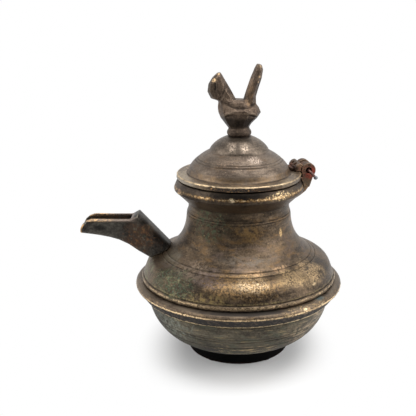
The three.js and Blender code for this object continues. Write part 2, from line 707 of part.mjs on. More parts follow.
const waterPot = new THREE.Group();
waterPot.add(footRing(), lowerBowl(), bellyBand(), upperBody(), mouthCollar(), spout());
waterPot.add(lid(), finialSeat(), finialBird(), finialWasher());
waterPot.add(hinge);

export default waterPot;
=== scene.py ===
# Dresses the water pot's CAD frame: turned shells with worn edges and incised lines, a faceted spout, a bird
# knob and a loose wire hinge, all in old brass under patina. Lengths in the profiles are millimetres.
import math

import bmesh
import bpy
import numpy as np
from mathutils import Matrix, Vector


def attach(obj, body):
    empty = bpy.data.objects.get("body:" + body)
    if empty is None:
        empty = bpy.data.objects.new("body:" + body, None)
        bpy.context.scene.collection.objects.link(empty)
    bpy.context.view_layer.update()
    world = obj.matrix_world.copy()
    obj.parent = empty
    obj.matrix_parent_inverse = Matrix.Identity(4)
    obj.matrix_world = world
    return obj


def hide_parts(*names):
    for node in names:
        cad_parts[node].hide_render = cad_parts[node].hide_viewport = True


bl_info = {
    "name": "Water Pot",
    "version": (1, 0, 0),
    "blender": (4, 5, 0),
    "location": "View3D > Sidebar > Water Pot",
    "description": "Builds a worn brass water pot with a hinged lid round its CAD frame",
    "category": "Object",
}

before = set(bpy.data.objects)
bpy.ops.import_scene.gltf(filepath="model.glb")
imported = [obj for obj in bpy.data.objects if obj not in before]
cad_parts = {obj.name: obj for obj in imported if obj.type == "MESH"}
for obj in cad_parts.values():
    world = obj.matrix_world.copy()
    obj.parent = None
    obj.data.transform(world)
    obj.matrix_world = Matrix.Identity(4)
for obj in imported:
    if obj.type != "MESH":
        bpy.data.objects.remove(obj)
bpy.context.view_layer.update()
MM = 0.001
WELD = 0.002 * MM  # points of a turned skin that lie closer are one
DOUBLE = 0.001 * MM
SLIVER = 0.0001 * MM

# The camera that took the picture, in metres and in the picture's pixels
PICTURE_WIDTH = 416
FOCAL_LENGTH = 750
POT_AXIS = 238.77  # where the pot's axis stands in the picture's width
CAMERA_DISTANCE = 0.44544
CAMERA_HEIGHT = 0.22192
CAMERA_TILT = math.radians(16.42)
CAMERA_ROLL = math.radians(0.29)
SENSOR = 36
LIGHTS_AIM = 0.08  # height of the point that the lights face
FLOOR_HALF = 4
FLOOR_DROP = 0.02 * MM  # so that the foot's underside lies clear of it

# Heights of the turned pieces
FOOT_TOP = 8.6
BOWL_FLOOR = 8.9
BOWL_EDGE = 35.4
BAND_FOOT = 38.4
SEAM = 43.1
BAND_TOP = 47.2
BEAD_FOOT = 47.5
BEAD_TOP = 49.8
SHOULDER_TURN = 62.6
SWEEP_TOP = 89.3
NECK_FOOT = 92.3
COLLAR_FOOT = 97.3
COLLAR_EDGE = 103.9
COLLAR_TOP = 110.0
MOUTH = 110.3
FLANGE_FOOT = 110.6
FLANGE_TOP = 113.7
DOME_FOOT = 115.1
CEILING = 125.7
DOME_TOP = 127.5
SEAT_FOOT = 127.6
SEAT_TOP = 136.1
KNOB_FOOT = 136.4
WASHER_TOP = 125.4
WASHER_FOOT = 123.8
TENON_END = 122.3

# Radii of the turned pieces
FOOT_RADIUS = 31.9
FOOT_CHAMFER = 0.8
FOOT_HOLLOW = 1.6  # how far its side is drawn in
FOOT_WALL = 3.2
FOOT_FLOOR = 2.2
BOWL_FLOOR_RADIUS = 31.2
BOWL_EDGE_RADIUS = 56.6
BOWL_STEP = 0.8
SEAM_RADIUS = 56.2
BAND_INSIDE = 56.5
BAND_WIDTH = 8.2
BAND_LIP = 0.8  # how far the worn lip hangs below the plan
BEAD_RADIUS = 60.7
SHOULDER_RADIUS = 49.2
SWEEP_TOP_RADIUS = 32.1
NECK_RADIUS = 31
MOUTH_RADIUS = 28.4
COLLAR_WIDTH = 8.6
COLLAR_LEAN = 1.9  # how far its face leans in above its widest part
COLLAR_BAND = 1.2  # height of its widest part
COLLAR_CHAMFER = 0.6
COLLAR_DROP = 1.2  # how far its lower lip hangs below the plan
FLANGE_RADIUS = 37.9
FLANGE_CHAMFER = 0.5
LID_INSIDE = 28
DOME_RADIUS = 30.7
DOME_STEP = 0.8
CEILING_FLAT = 8  # radius of the flat middle of the lid's ceiling
SEAT_RADIUS = 17.6
SEAT_EDGE = ((-1, 0), (0.5, -0.7), (0.1, 0.8))  # its lower edge, counted from its radius and its foot
SEAT_DRAW = 0.27  # share of its width by which its curve is drawn in
SEAT_DROP = 2.8
SEAT_TOP_RADIUS = 7.2
KNOB_RADIUS = 6.65
KNOB_BULGE = ((8.25, 1.9), (6.4, 4))  # radius, and height above its foot
KNOB_STEP = 5
KNOB_TOP = 5.8
KNOB_WAIST = 6
TENON_RADIUS = 2.1
TENON_HEAD = 3.2
TENON_HOLE = 2.4
TENON_BEVEL = 0.6
WASHER_RADIUS = 6.5
WALL = 2.6
GAP = 0.3

# The main curves, as shares of the way from start to end
BOWL_CURVE = (0.551, 0.023, 0.969, 0.521)
SHOULDER_CURVE = (0.319, 0.359, 0.142, 0.813)
SWEEP_CURVE = (0.462, 0.169, 0.977, 0.408)
DOME_CURVE = (0.031, 0.347, 0.511, 0.75)
CEILING_CURVE = (0.58, 0.083, 0.98, 0.55)

# Hinge, with the pin along Y before it is turned to its azimuth
HINGE_AZIMUTH = math.radians(12)
HINGE_X = 42.1
HINGE_Z = 114.4
EAR_RADIUS = 4.1
EAR_INNER = 3.1
EAR_OUTER = 7.6
KNUCKLE_RADIUS = 3.8
KNUCKLE_HALF = 2.8
BORE_RADIUS = 1.7
BORE_WEAR = 0.25  # how much wider the loose pin has worn the ears' bore
BORE_HALF = 12  # half the length of what cuts the bores
PIN_RADIUS = 0.85
PIN_TAIL_ANGLE = math.radians(-48)
EAR_FULLNESS = 0.4  # how much wider the cast ears stand than the plan
ARM_INSIDE = 5.0  # the arm of the leaf lies round the ears from this radius outwards
ARM_TOP = math.radians(137)
ARM_FOOT = math.radians(184)
ARM_EDGE = ((6.5, 137), (7.4, 144), (8.2, 154), (8.7, 166), (8.6, 176), (8.4, 183))  # radius, degrees
BRACKET_SADDLE = [(35, 110.3), (35, 104), (42.9, 104), (44.9, 110)]
BRACKET_ROOT_INNER = 32.2
BRACKET_ROOT = ((7.6, 44.9, 109.6), (9.2, 43.2, 105.4), (10, 40.6, 101.9), (9.6, 37.4, 99.3), (8.4, 34.4, 97.0))
BRACKET_SLOT = ((32, -EAR_INNER, 109.7), (52, EAR_INNER, 130))
NOTCH_ROOM = 0.4  # between the ears and the notch in the lid
LEAF_INNER = 31.8
LEAF_OUTER = 37.4
LEAF_HALF = 4.8
LEAF_FOOT = 114.0
LEAF_TOP = 115.8
RIVET_X = 34.6
RIVET_SPREAD = 2.6
RIVET_RADIUS = 1
RIVET_HOLE = 1.3
RIVET_HOLE_SPAN = (110, 120)  # heights of the two ends of what cuts the leaf's holes
RIVET_HEAD = 1.6
RIVET_HEAD_HEIGHT = 0.9
RIVET_SINK = 2.5
PIN_STAND = (0.9, 1.25)  # how far the tail stands off the ear: the pin's and the blob's radius in the plan
PIN_TAIL = 5.6  # from the pin's line to the middle of its blob
PIN_BLOB = 1.2
PIN_BLOB_SHAPE = (1.1, 0.95, 1)
PIN_BEND = 1.9
PIN_KNEE = (0.15, 0.7)  # out from the pin's line, and back from the tail
PIN_KNEE_END = 1.4  # where the tail is straight again, out from the pin's line
PIN_KNEE_PULL = 0.4  # how far the second control of the bend lies from the knee to its end
PIN_BEND_STEPS = 14
PIN_STEPS = 90  # along the whole wire
PIN_SIDES = 20
PIN_WAVE = 1.6  # millimetres across its unevenness
PIN_HEAD = 2.2
PIN_HEAD_THICKNESS = 1
PIN_UNEVENNESS = 0.16


def tone(red, green, blue):
    """A colour as it is seen on screen, from 0 to 255, as the linear colour that a shader takes."""
    return tuple(((c / 255 + 0.055) / 1.055) ** 2.4 if c > 10 else c / 255 / 12.92 for c in (red, green, blue))


def shade(label, red, green, blue):
    """A colour that a user can change."""
    return bpy.props.FloatVectorProperty(
        name=label, description=f"{label} of the metal", subtype="COLOR", min=0, max=1, default=tone(red, green, blue)
    )


class PotSizes(bpy.types.PropertyGroup):
    """Sizes that change how worn and how fine the pot is"""

    turns: bpy.props.IntProperty(
        name="Turns", description="Faces round each turned piece", default=288, min=64, max=512
    )
    rounding: bpy.props.FloatProperty(
        name="Rounding", description="How far wear has rounded the turned edges", default=0.32 * MM,
        min=0.05 * MM, max=1.5 * MM, unit="LENGTH", precision=5,
    )
    grain: bpy.props.FloatProperty(
        name="Grain", description="Height of the cast and hammered unevenness", default=0.22 * MM,
        min=0, max=1 * MM, unit="LENGTH", precision=5,
    )
    nicks: bpy.props.FloatProperty(
        name="Nicks", description="Depth of the nicks along worn edges", default=0.75 * MM,
        min=0, max=2 * MM, unit="LENGTH", precision=5,
    )
    line_depth: bpy.props.FloatProperty(
        name="Line depth", description="Depth of the incised lines", default=0.42 * MM,
        min=0, max=1 * MM, unit="LENGTH", precision=5,
    )


class PotColours(bpy.types.PropertyGroup):
    """Colours of the metal, its patina and its wear"""

    dark: shade("Dark patina", 52, 44, 36)
    brown: shade("Brown patina", 116, 98, 78)
    grey: shade("Grey patina", 124, 116, 104)
    gold: shade("Rubbed gold", 206, 172, 122)
    pale: shade("Worn edge", 226, 200, 158)
    green: shade("Verdigris", 84, 98, 76)
    soot: shade("Soot", 16, 14, 12)
    rust: shade("Rust", 112, 62, 42)
    wire: shade("Wire", 128, 98, 92)


# Node trees

BROAD_WAVE = 14  # millimetres across the broad unevenness of the castings
FINE_WAVE = 2.6
FINE_SHARE = 0.35
NICK_SIZE = 3.4
NICK_LEVELS = (0.58, 0.7)


class Graph:
    """A node tree under construction."""

    def __init__(self, tree):
        self.tree = tree

    def plug(self, socket, value):
        """Links another socket to an input, or sets the input's own value."""
        if isinstance(value, bpy.types.NodeSocket):
            self.tree.links.new(value, socket)
        elif value is not None:
            socket.default_value = value

    def add(self, kind, inputs=None, out=0, **settings):
        """A new node's output, or the node itself for out=None."""
        node = self.tree.nodes.new(kind)
        for key, value in settings.items():
            setattr(node, key, value)
        for key, value in (inputs or {}).items():
            self.plug(node.inputs[key], value)
        return node.outputs[out] if out is not None else node

    def sum(self, a, b):
        return self.add("ShaderNodeMath", {0: a, 1: b}, operation="ADD")

    def less(self, a, b):
        return self.add("ShaderNodeMath", {0: a, 1: b}, operation="SUBTRACT")

    def times(self, a, b):
        return self.add("ShaderNodeMath", {0: a, 1: b}, operation="MULTIPLY")

    def most(self, a, b):
        return self.add("ShaderNodeMath", {0: a, 1: b}, operation="MAXIMUM")

    def between(self, value, low, high):
        """0 below low, 1 above high, smooth in between."""
        return self.add(
            "ShaderNodeMapRange", {0: value, 1: low, 2: high, 3: 0.0, 4: 1.0}, interpolation_type="SMOOTHSTEP"
        )

    def span(self, value, low, high):
        """A value from 0 to 1 spread from low to high."""
        return self.add("ShaderNodeMapRange", {0: value, 1: 0.0, 2: 1.0, 3: low, 4: high}, clamp=True)

    def blend(self, factor, a, b):
        return self.add("ShaderNodeMix", {0: factor, 6: a, 7: b}, out=2, data_type="RGBA", clamp_factor=True)

    def noise(self, vector, size, detail=4.0, rough=0.6, twist=0.0):
        """Cloudy noise whose blotches are about size millimetres across."""
        inputs = {"Vector": vector, "Scale": 1 / (size * MM), "Detail": detail, "Roughness": rough, "Distortion": twist}
        return self.add("ShaderNodeTexNoise", inputs, noise_dimensions="3D")


def started(name, **inputs):
    """A tree with geometry, its own inputs and a material for inputs, its graph and its inputs' sockets."""
    tree = bpy.data.node_groups.new(name, "GeometryNodeTree")
    for label, kind in {"Geometry": "Geometry", **inputs, "Material": "Material"}.items():
        tree.interface.new_socket(name=label, in_out="INPUT", socket_type="NodeSocket" + kind)
    tree.interface.new_socket(name="Geometry", in_out="OUTPUT", socket_type="NodeSocketGeometry")
    graph = Graph(tree)
    return tree, graph, graph.add("NodeGroupInput", out=None).outputs


def ended(graph, skin, given):
    """Closes a tree with real faces in their material."""
    skin = graph.add("GeometryNodeRealizeInstances", {"Geometry": skin})
    skin = graph.add("GeometryNodeSetMaterial", {"Geometry": skin, "Material": given["Material"]})
    last = graph.add("NodeGroupOutput", out=None)
    graph.plug(last.inputs["Geometry"], skin)


def turned_tree():
    """A tree that turns a profile round the Z axis, roughens it as cast metal is and nicks its worn edges."""
    tree, graph, given = started("turned on the lathe", Turns="Int", Grain="Float", Nicks="Float", Seed="Float")
    profile = graph.add("GeometryNodeMeshToCurve", {"Mesh": given["Geometry"]})
    rail = graph.add("GeometryNodeCurvePrimitiveCircle", {"Resolution": given["Turns"], "Radius": 1.0})
    step = graph.add("ShaderNodeMath", {0: 2 * math.pi, 1: given["Turns"]}, operation="DIVIDE")
    angle = graph.times(graph.add("GeometryNodeInputIndex"), step)
    rail = graph.add(
        "GeometryNodeStoreNamedAttribute", {"Geometry": rail, "Name": "angle", "Value": angle}, data_type="FLOAT"
    )
    skin = graph.add("GeometryNodeCurveToMesh", {"Curve": rail, "Profile Curve": profile})

    def named(label):
        return graph.add("GeometryNodeInputNamedAttribute", {"Name": label}, data_type="FLOAT")

    radius = named("width")
    around = named("angle")
    x = graph.times(radius, graph.add("ShaderNodeMath", {0: around}, operation="COSINE"))
    y = graph.times(radius, graph.add("ShaderNodeMath", {0: around}, operation="SINE"))
    place = graph.add("ShaderNodeCombineXYZ", {0: x, 1: y, 2: named("height")})
    skin = graph.add("GeometryNodeSetPosition", {"Geometry": skin, "Position": place})
    skin = graph.add("GeometryNodeMergeByDistance", {"Geometry": skin, "Distance": WELD})
    drift = graph.add("ShaderNodeCombineXYZ", {0: given["Seed"], 1: given["Seed"], 2: given["Seed"]})
    here = graph.add(
        "ShaderNodeVectorMath", {0: graph.add("GeometryNodeInputPosition"), 1: drift}, operation="ADD"
    )
    broad = graph.less(graph.noise(here, BROAD_WAVE, 2.0, 0.5), 0.5)
    fine = graph.less(graph.noise(here, FINE_WAVE, 2.0, 0.5), 0.5)
    height = graph.times(graph.sum(broad, graph.times(fine, FINE_SHARE)), given["Grain"])
    chip = graph.between(graph.noise(here, NICK_SIZE, 3.0, 0.6, 0.4), *NICK_LEVELS)
    loss = graph.times(graph.times(chip, named("edge")), given["Nicks"])
    lift = graph.less(height, loss)
    offset = graph.add(
        "ShaderNodeVectorMath", {0: graph.add("GeometryNodeInputNormal"), "Scale": lift}, operation="SCALE"
    )
    skin = graph.add("GeometryNodeSetPosition", {"Geometry": skin, "Offset": offset})
    ended(graph, graph.add("GeometryNodeSetShadeSmooth", {"Geometry": skin}), given)
    return tree


def wire_tree():
    """A tree that draws a wire of uneven thickness along a path."""
    tree, graph, given = started("drawn wire", Radius="Float", Unevenness="Float")
    path = graph.add("GeometryNodeMeshToCurve", {"Mesh": given["Geometry"]})
    path = graph.add("GeometryNodeResampleCurve", {"Curve": path, "Count": PIN_STEPS})
    ring = graph.add("GeometryNodeCurvePrimitiveCircle", {"Resolution": PIN_SIDES, "Radius": given["Radius"]})
    skin = graph.add("GeometryNodeCurveToMesh", {"Curve": path, "Profile Curve": ring, "Fill Caps": True})
    wave = graph.less(graph.noise(graph.add("GeometryNodeInputPosition"), PIN_WAVE, 1.0, 0.5), 0.5)
    offset = graph.add(
        "ShaderNodeVectorMath",
        {0: graph.add("GeometryNodeInputNormal"), "Scale": graph.times(wave, given["Unevenness"])},
        operation="SCALE",
    )
    ended(graph, graph.add("GeometryNodeSetPosition", {"Geometry": skin, "Offset": offset}), given)
    return tree


def rivet_tree():
    """A tree that sets a rivet on each point."""
    tree, graph, given = started("set of rivets", Rivet="Object")
    rivet = graph.add("GeometryNodeObjectInfo", {"Object": given["Rivet"]}, out=None).outputs["Geometry"]
    points = graph.add("GeometryNodeMeshToPoints", {"Mesh": given["Geometry"]})
    ended(graph, graph.add("GeometryNodeInstanceOnPoints", {"Points": points, "Instance": rivet}), given)
    return tree


def grown(piece, tree, **values):
    """Runs a tree on an object and leaves its result there as a plain mesh."""
    modifier = piece.modifiers.new(tree.name, "NODES")
    modifier.node_group = tree
    for socket in tree.interface.items_tree:
        if socket.in_out == "INPUT" and socket.name in values:
            modifier[socket.identifier] = values[socket.name]
    settled(piece)


def settled(piece):
    """Applies an object's modifiers."""
    graph = bpy.context.evaluated_depsgraph_get()
    mesh = bpy.data.meshes.new_from_object(piece.evaluated_get(graph), depsgraph=graph)
    piece.modifiers.clear()
    piece.data = mesh


def new_object(name, vertices, faces=(), edges=()):
    """An object of a new mesh, in the scene."""
    mesh = bpy.data.meshes.new(name)
    mesh.from_pydata([tuple(v) for v in vertices], edges, faces)
    piece = bpy.data.objects.new(name, mesh)
    bpy.context.scene.collection.objects.link(piece)
    return piece


def discard(*pieces):
    for piece in pieces:
        bpy.data.objects.remove(piece)


def place(piece, body, slot, *nodes):
    """The finished piece rides on its body and stands for its CAD nodes."""
    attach(piece, body)
    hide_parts(*nodes)


# Profiles


class Profile:
    """Points of a turned profile as (radius, height), walked with the metal on the left."""

    def __init__(self, radius, height):
        self.points = [(radius, height)]

    def to(self, *places):
        self.points.extend(places)
        return self

    def through(self, controls, steps=24):
        """A curve from the last point with Bezier controls, which end with the new point."""
        nodes = [self.points[-1], *controls]
        degree = len(nodes) - 1
        for k in range(1, steps + 1):
            t = k / steps
            weights = [math.comb(degree, i) * t**i * (1 - t) ** (degree - i) for i in range(degree + 1)]
            self.points.append(tuple(sum(w * n[a] for w, n in zip(weights, nodes)) for a in (0, 1)))
        return self

    def bend(self, radius, height, shares):
        """A curve to a new point, with its two controls at shares of the way."""
        r, z = self.points[-1]
        across, up, across_2, up_2 = shares
        first = (r + across * (radius - r), z + up * (height - z))
        second = (r + across_2 * (radius - r), z + up_2 * (height - z))
        return self.through([first, second, (radius, height)])


def backwards(shares):
    """The shares of the same curve walked from its end."""
    across, up, across_2, up_2 = shares
    return (1 - across_2, 1 - up_2, 1 - across, 1 - up)


SAMPLE = 0.1  # millimetres between the samples of a profile
EDGE_REACH = 0.6  # half the stretch over which an edge's turning is measured
EDGE_TURN = 0.75  # the turning, in radians, of a full edge
PLAIN_STEP = 0.85  # millimetres between the points that are kept on a plain stretch
TURN_COST = 0.12  # share of such a step for each radian of turning
DETAIL_COST = 0.35  # and for each sample on an edge or in a line
DETAIL_EDGE = 0.35
DETAIL_CREASE = 0.25


def worn_profile(profile, closed, rounding, lines):
    """Rounds a profile's edges and cuts incised lines (radius, height, width, depth) into it.

    Returns its points with, at each, how much of an edge and of a crease it is and how far along it lies."""
    points = np.array(profile.points + (profile.points[:1] if closed else []), float)
    reach = np.concatenate([[0], np.cumsum(np.hypot(*np.diff(points, axis=0).T))])
    count = int(reach[-1] / SAMPLE)
    along = np.linspace(0, reach[-1], count, endpoint=not closed)
    dense = np.column_stack([np.interp(along, reach, points[:, k]) for k in (0, 1)])
    margin = int(4 * rounding / SAMPLE) + int(2 * EDGE_REACH / SAMPLE) + 4

    def padded(values):
        if closed:
            return np.concatenate([values[-margin:], values, values[:margin]])
        mirror = np.array([-1, 1]) if values.ndim == 2 else 1
        return np.concatenate([values[margin:0:-1] * mirror, values, values[-2:-margin - 2:-1] * mirror])

    spread = np.arange(-margin, margin + 1) * SAMPLE
    kernel = np.exp(-0.5 * (spread / rounding) ** 2)
    kernel /= kernel.sum()
    wide = padded(dense)
    smooth = np.column_stack([np.convolve(wide[:, k], kernel, "same")[margin:-margin] for k in (0, 1)])
    if not closed:
        smooth[0, 0] = smooth[-1, 0] = 0
    wide = padded(smooth)
    ahead = max(1, int(EDGE_REACH / SAMPLE))
    before = wide[margin:-margin] - wide[margin - ahead:-margin - ahead]
    after = wide[margin + ahead:len(wide) - margin + ahead] - wide[margin:-margin]
    turn = np.arctan2(
        before[:, 0] * after[:, 1] - before[:, 1] * after[:, 0], (before * after).sum(axis=1)
    )
    edge = np.clip(turn / EDGE_TURN, 0, 1)
    crease = np.clip(-turn / EDGE_TURN, 0, 1)
    tangent = before + after
    tangent /= np.maximum(np.hypot(tangent[:, 0], tangent[:, 1]), 1e-9)[:, None]
    outward = np.column_stack([tangent[:, 1], -tangent[:, 0]])
    for radius, height, width, depth in lines:
        spot = np.argmin(np.hypot(smooth[:, 0] - radius, smooth[:, 1] - height))
        share = np.exp(-(((along - along[spot]) / width) ** 2) * 2)
        smooth = smooth - outward * (depth * share)[:, None]
        crease = np.maximum(crease, share)
    keep = [0]
    spent = 0.0
    for k in range(1, len(smooth)):
        step = math.hypot(*(smooth[k] - smooth[k - 1]))
        detail = DETAIL_COST if crease[k] > DETAIL_CREASE or edge[k] > DETAIL_EDGE else 0
        spent += step / PLAIN_STEP + abs(turn[k]) * TURN_COST + detail
        if spent >= 1:
            keep.append(k)
            spent = 0.0
    if not closed and keep[-1] != len(smooth) - 1:
        keep.append(len(smooth) - 1)
    keep = np.array(keep)
    return smooth[keep], edge[keep], crease[keep], along[keep]


def marked(mesh, **values):
    """Stores numbers on a mesh's points under their names."""
    for label, numbers in values.items():
        mesh.attributes.new(label, "FLOAT", "POINT").data.foreach_set("value", numbers.astype(np.float32))


def turned(name, profile, material, closed=True, lines=(), seed=0.0, nicks=1.0, grain=1.0, turns=None):
    """A piece turned from a profile."""
    sizes = bpy.context.scene.pot_sizes
    cut = [(radius, height, width, depth * sizes.line_depth / MM) for radius, height, width, depth in lines]
    points, edge, crease, along = worn_profile(profile, closed, sizes.rounding / MM, cut)
    count = len(points)
    edges = [(k, k + 1) for k in range(count - 1)] + ([(count - 1, 0)] if closed else [])
    piece = new_object(name, [(r * MM, 0, z * MM) for r, z in points], edges=edges)
    radius = np.maximum(points[:, 0], 0)
    marked(piece.data, width=radius * MM, height=points[:, 1] * MM, edge=edge, crease=crease, along=along * MM)
    grown(
        piece, bpy.data.node_groups["turned on the lathe"], Turns=turns or sizes.turns, Grain=sizes.grain * grain,
        Nicks=sizes.nicks * nicks, Seed=seed, Material=material,
    )
    face_outwards(piece)
    return piece


def face_outwards(piece, slivers=False):
    """Merges doubles, takes out slivers where asked, and turns every face outwards."""
    shell = bmesh.new()
    shell.from_mesh(piece.data)
    bmesh.ops.remove_doubles(shell, verts=shell.verts, dist=DOUBLE)
    if slivers:
        bmesh.ops.dissolve_degenerate(shell, edges=shell.edges, dist=SLIVER)
    bmesh.ops.recalc_face_normals(shell, faces=shell.faces)
    if shell.calc_volume(signed=True) < 0:
        bmesh.ops.reverse_faces(shell, faces=shell.faces)
    for face in shell.faces:
        face.smooth = True
    shell.to_mesh(piece.data)
    shell.free()


def combined(piece, others, operation):
    """Runs one Boolean after another on a piece and removes the other objects."""
    for other in others:
        modifier = piece.modifiers.new(operation, "BOOLEAN")
        modifier.operation = operation
        modifier.object = other
        modifier.solver = "EXACT"
    settled(piece)
    discard(*others)


def cut_away(piece, *cutters):
    """Cuts other objects out of a piece and removes them."""
    combined(piece, cutters, "DIFFERENCE")


def joined(piece, *others):
    """Joins other objects to a piece as one casting and removes them."""
    combined(piece, others, "UNION")


# Cast pieces


def lofted(name, sections):
    """A closed solid through sections of equally many points, in millimetres."""
    count = len(sections[0])
    last = len(sections) - 1
    vertices = [Vector(point) * MM for section in sections for point in section]
    faces = [tuple(range(count)), tuple(last * count + k for k in reversed(range(count)))]
    for s in range(last):
        for k in range(count):
            a = s * count + k
            b = s * count + (k + 1) % count
            faces.append((a, a + count, b + count, b))
    piece = new_object(name, vertices, faces)
    face_outwards(piece)
    return piece


def slab(name, outline, half):
    """A slab with an outline in X and Z, from -half to +half along Y."""
    return lofted(name, [[(x, -half, z) for x, z in outline], [(x, half, z) for x, z in outline]])


def bar(name, radius, start, end, sides=48):
    """A round bar between two points."""
    start, end = Vector(start), Vector(end)
    along = (end - start).normalized()
    across = along.orthogonal().normalized()
    up = along.cross(across)
    spots = [
        across * math.cos(2 * math.pi * k / sides) * radius + up * math.sin(2 * math.pi * k / sides) * radius
        for k in range(sides)
    ]
    return lofted(name, [[start + spot for spot in spots], [end + spot for spot in spots]])


def coordinates(mesh):
    """A mesh's points in metres, one row each."""
    values = np.empty(len(mesh.vertices) * 3, np.float32)
    mesh.vertices.foreach_get("co", values)
    return values.reshape(-1, 3).astype(float)


def move_points(mesh, points):
    """Gives a mesh's points new places in metres."""
    mesh.vertices.foreach_set("co", points.astype(np.float32).ravel())
    mesh.update()


def relaxed(points, pairs, rounds, amount=0.5):
    """Moves every point towards the middle of its neighbours, some rounds over."""
    count = np.maximum(np.bincount(pairs.ravel(), minlength=len(points)), 1)[:, None]
    for _ in range(rounds):
        total = np.column_stack(
            [
                np.bincount(pairs[:, 0], points[pairs[:, 1], k], len(points))
                + np.bincount(pairs[:, 1], points[pairs[:, 0], k], len(points))
                for k in range(3)
            ]
        )
        points = points + (total / count - points) * amount
    return points


BULGE_ROUNDS = 14  # rounds of smoothing that an edge is measured against
FULL_BULGE = 0.12  # millimetres that a full edge stands out from the smoothed shape


def weathered(piece, voxel, rounds, carve=None):
    """Remeshes a cast piece in voxels of a size in millimetres, softens its edges in rounds, carves it and marks
    its edges and creases."""
    remesh = piece.modifiers.new("skin", "REMESH")
    remesh.mode = "VOXEL"
    remesh.voxel_size = voxel * MM
    settled(piece)
    mesh = piece.data
    pairs = np.empty(len(mesh.edges) * 2, np.int32)
    mesh.edges.foreach_get("vertices", pairs)
    pairs = pairs.reshape(-1, 2)
    points = relaxed(coordinates(mesh), pairs, rounds)
    move_points(mesh, points)
    if carve:
        normals = np.array([v.normal for v in mesh.vertices], float)
        depth, dark = carve(points / MM)
        points = points - normals * (depth * MM)[:, None]
        move_points(mesh, points)
    normals = np.array([v.normal for v in mesh.vertices], float)
    bulge = ((points - relaxed(points, pairs, BULGE_ROUNDS)) * normals).sum(axis=1) / MM
    edge = np.clip(bulge / FULL_BULGE, 0, 1)
    crease = np.clip(-bulge / FULL_BULGE, 0, 1)
    if carve:
        crease = np.maximum(crease, dark)
    marked(mesh, edge=edge, crease=crease)
    mesh.polygons.foreach_set("use_smooth", [True] * len(mesh.polygons))


def finished(piece, material):
    """Gives a piece one material."""
    piece.data.materials.clear()
    piece.data.materials.append(material)


def hinge_turned(piece):
    """Turns a piece of the hinge to its azimuth, in its mesh."""
    piece.data.transform(Matrix.Rotation(HINGE_AZIMUTH, 4, "Z"))
    return piece


# Finishes

BARE = 0.95  # how metallic a surface is where the patina is worn off
POLISHED = 0.38  # its roughness there
CLOUD = 14  # millimetres across the patina's clouds
BLOTCH = 4
SPECK = 1.2
PIT = 0.5
BUMP_HEIGHT = 0.4


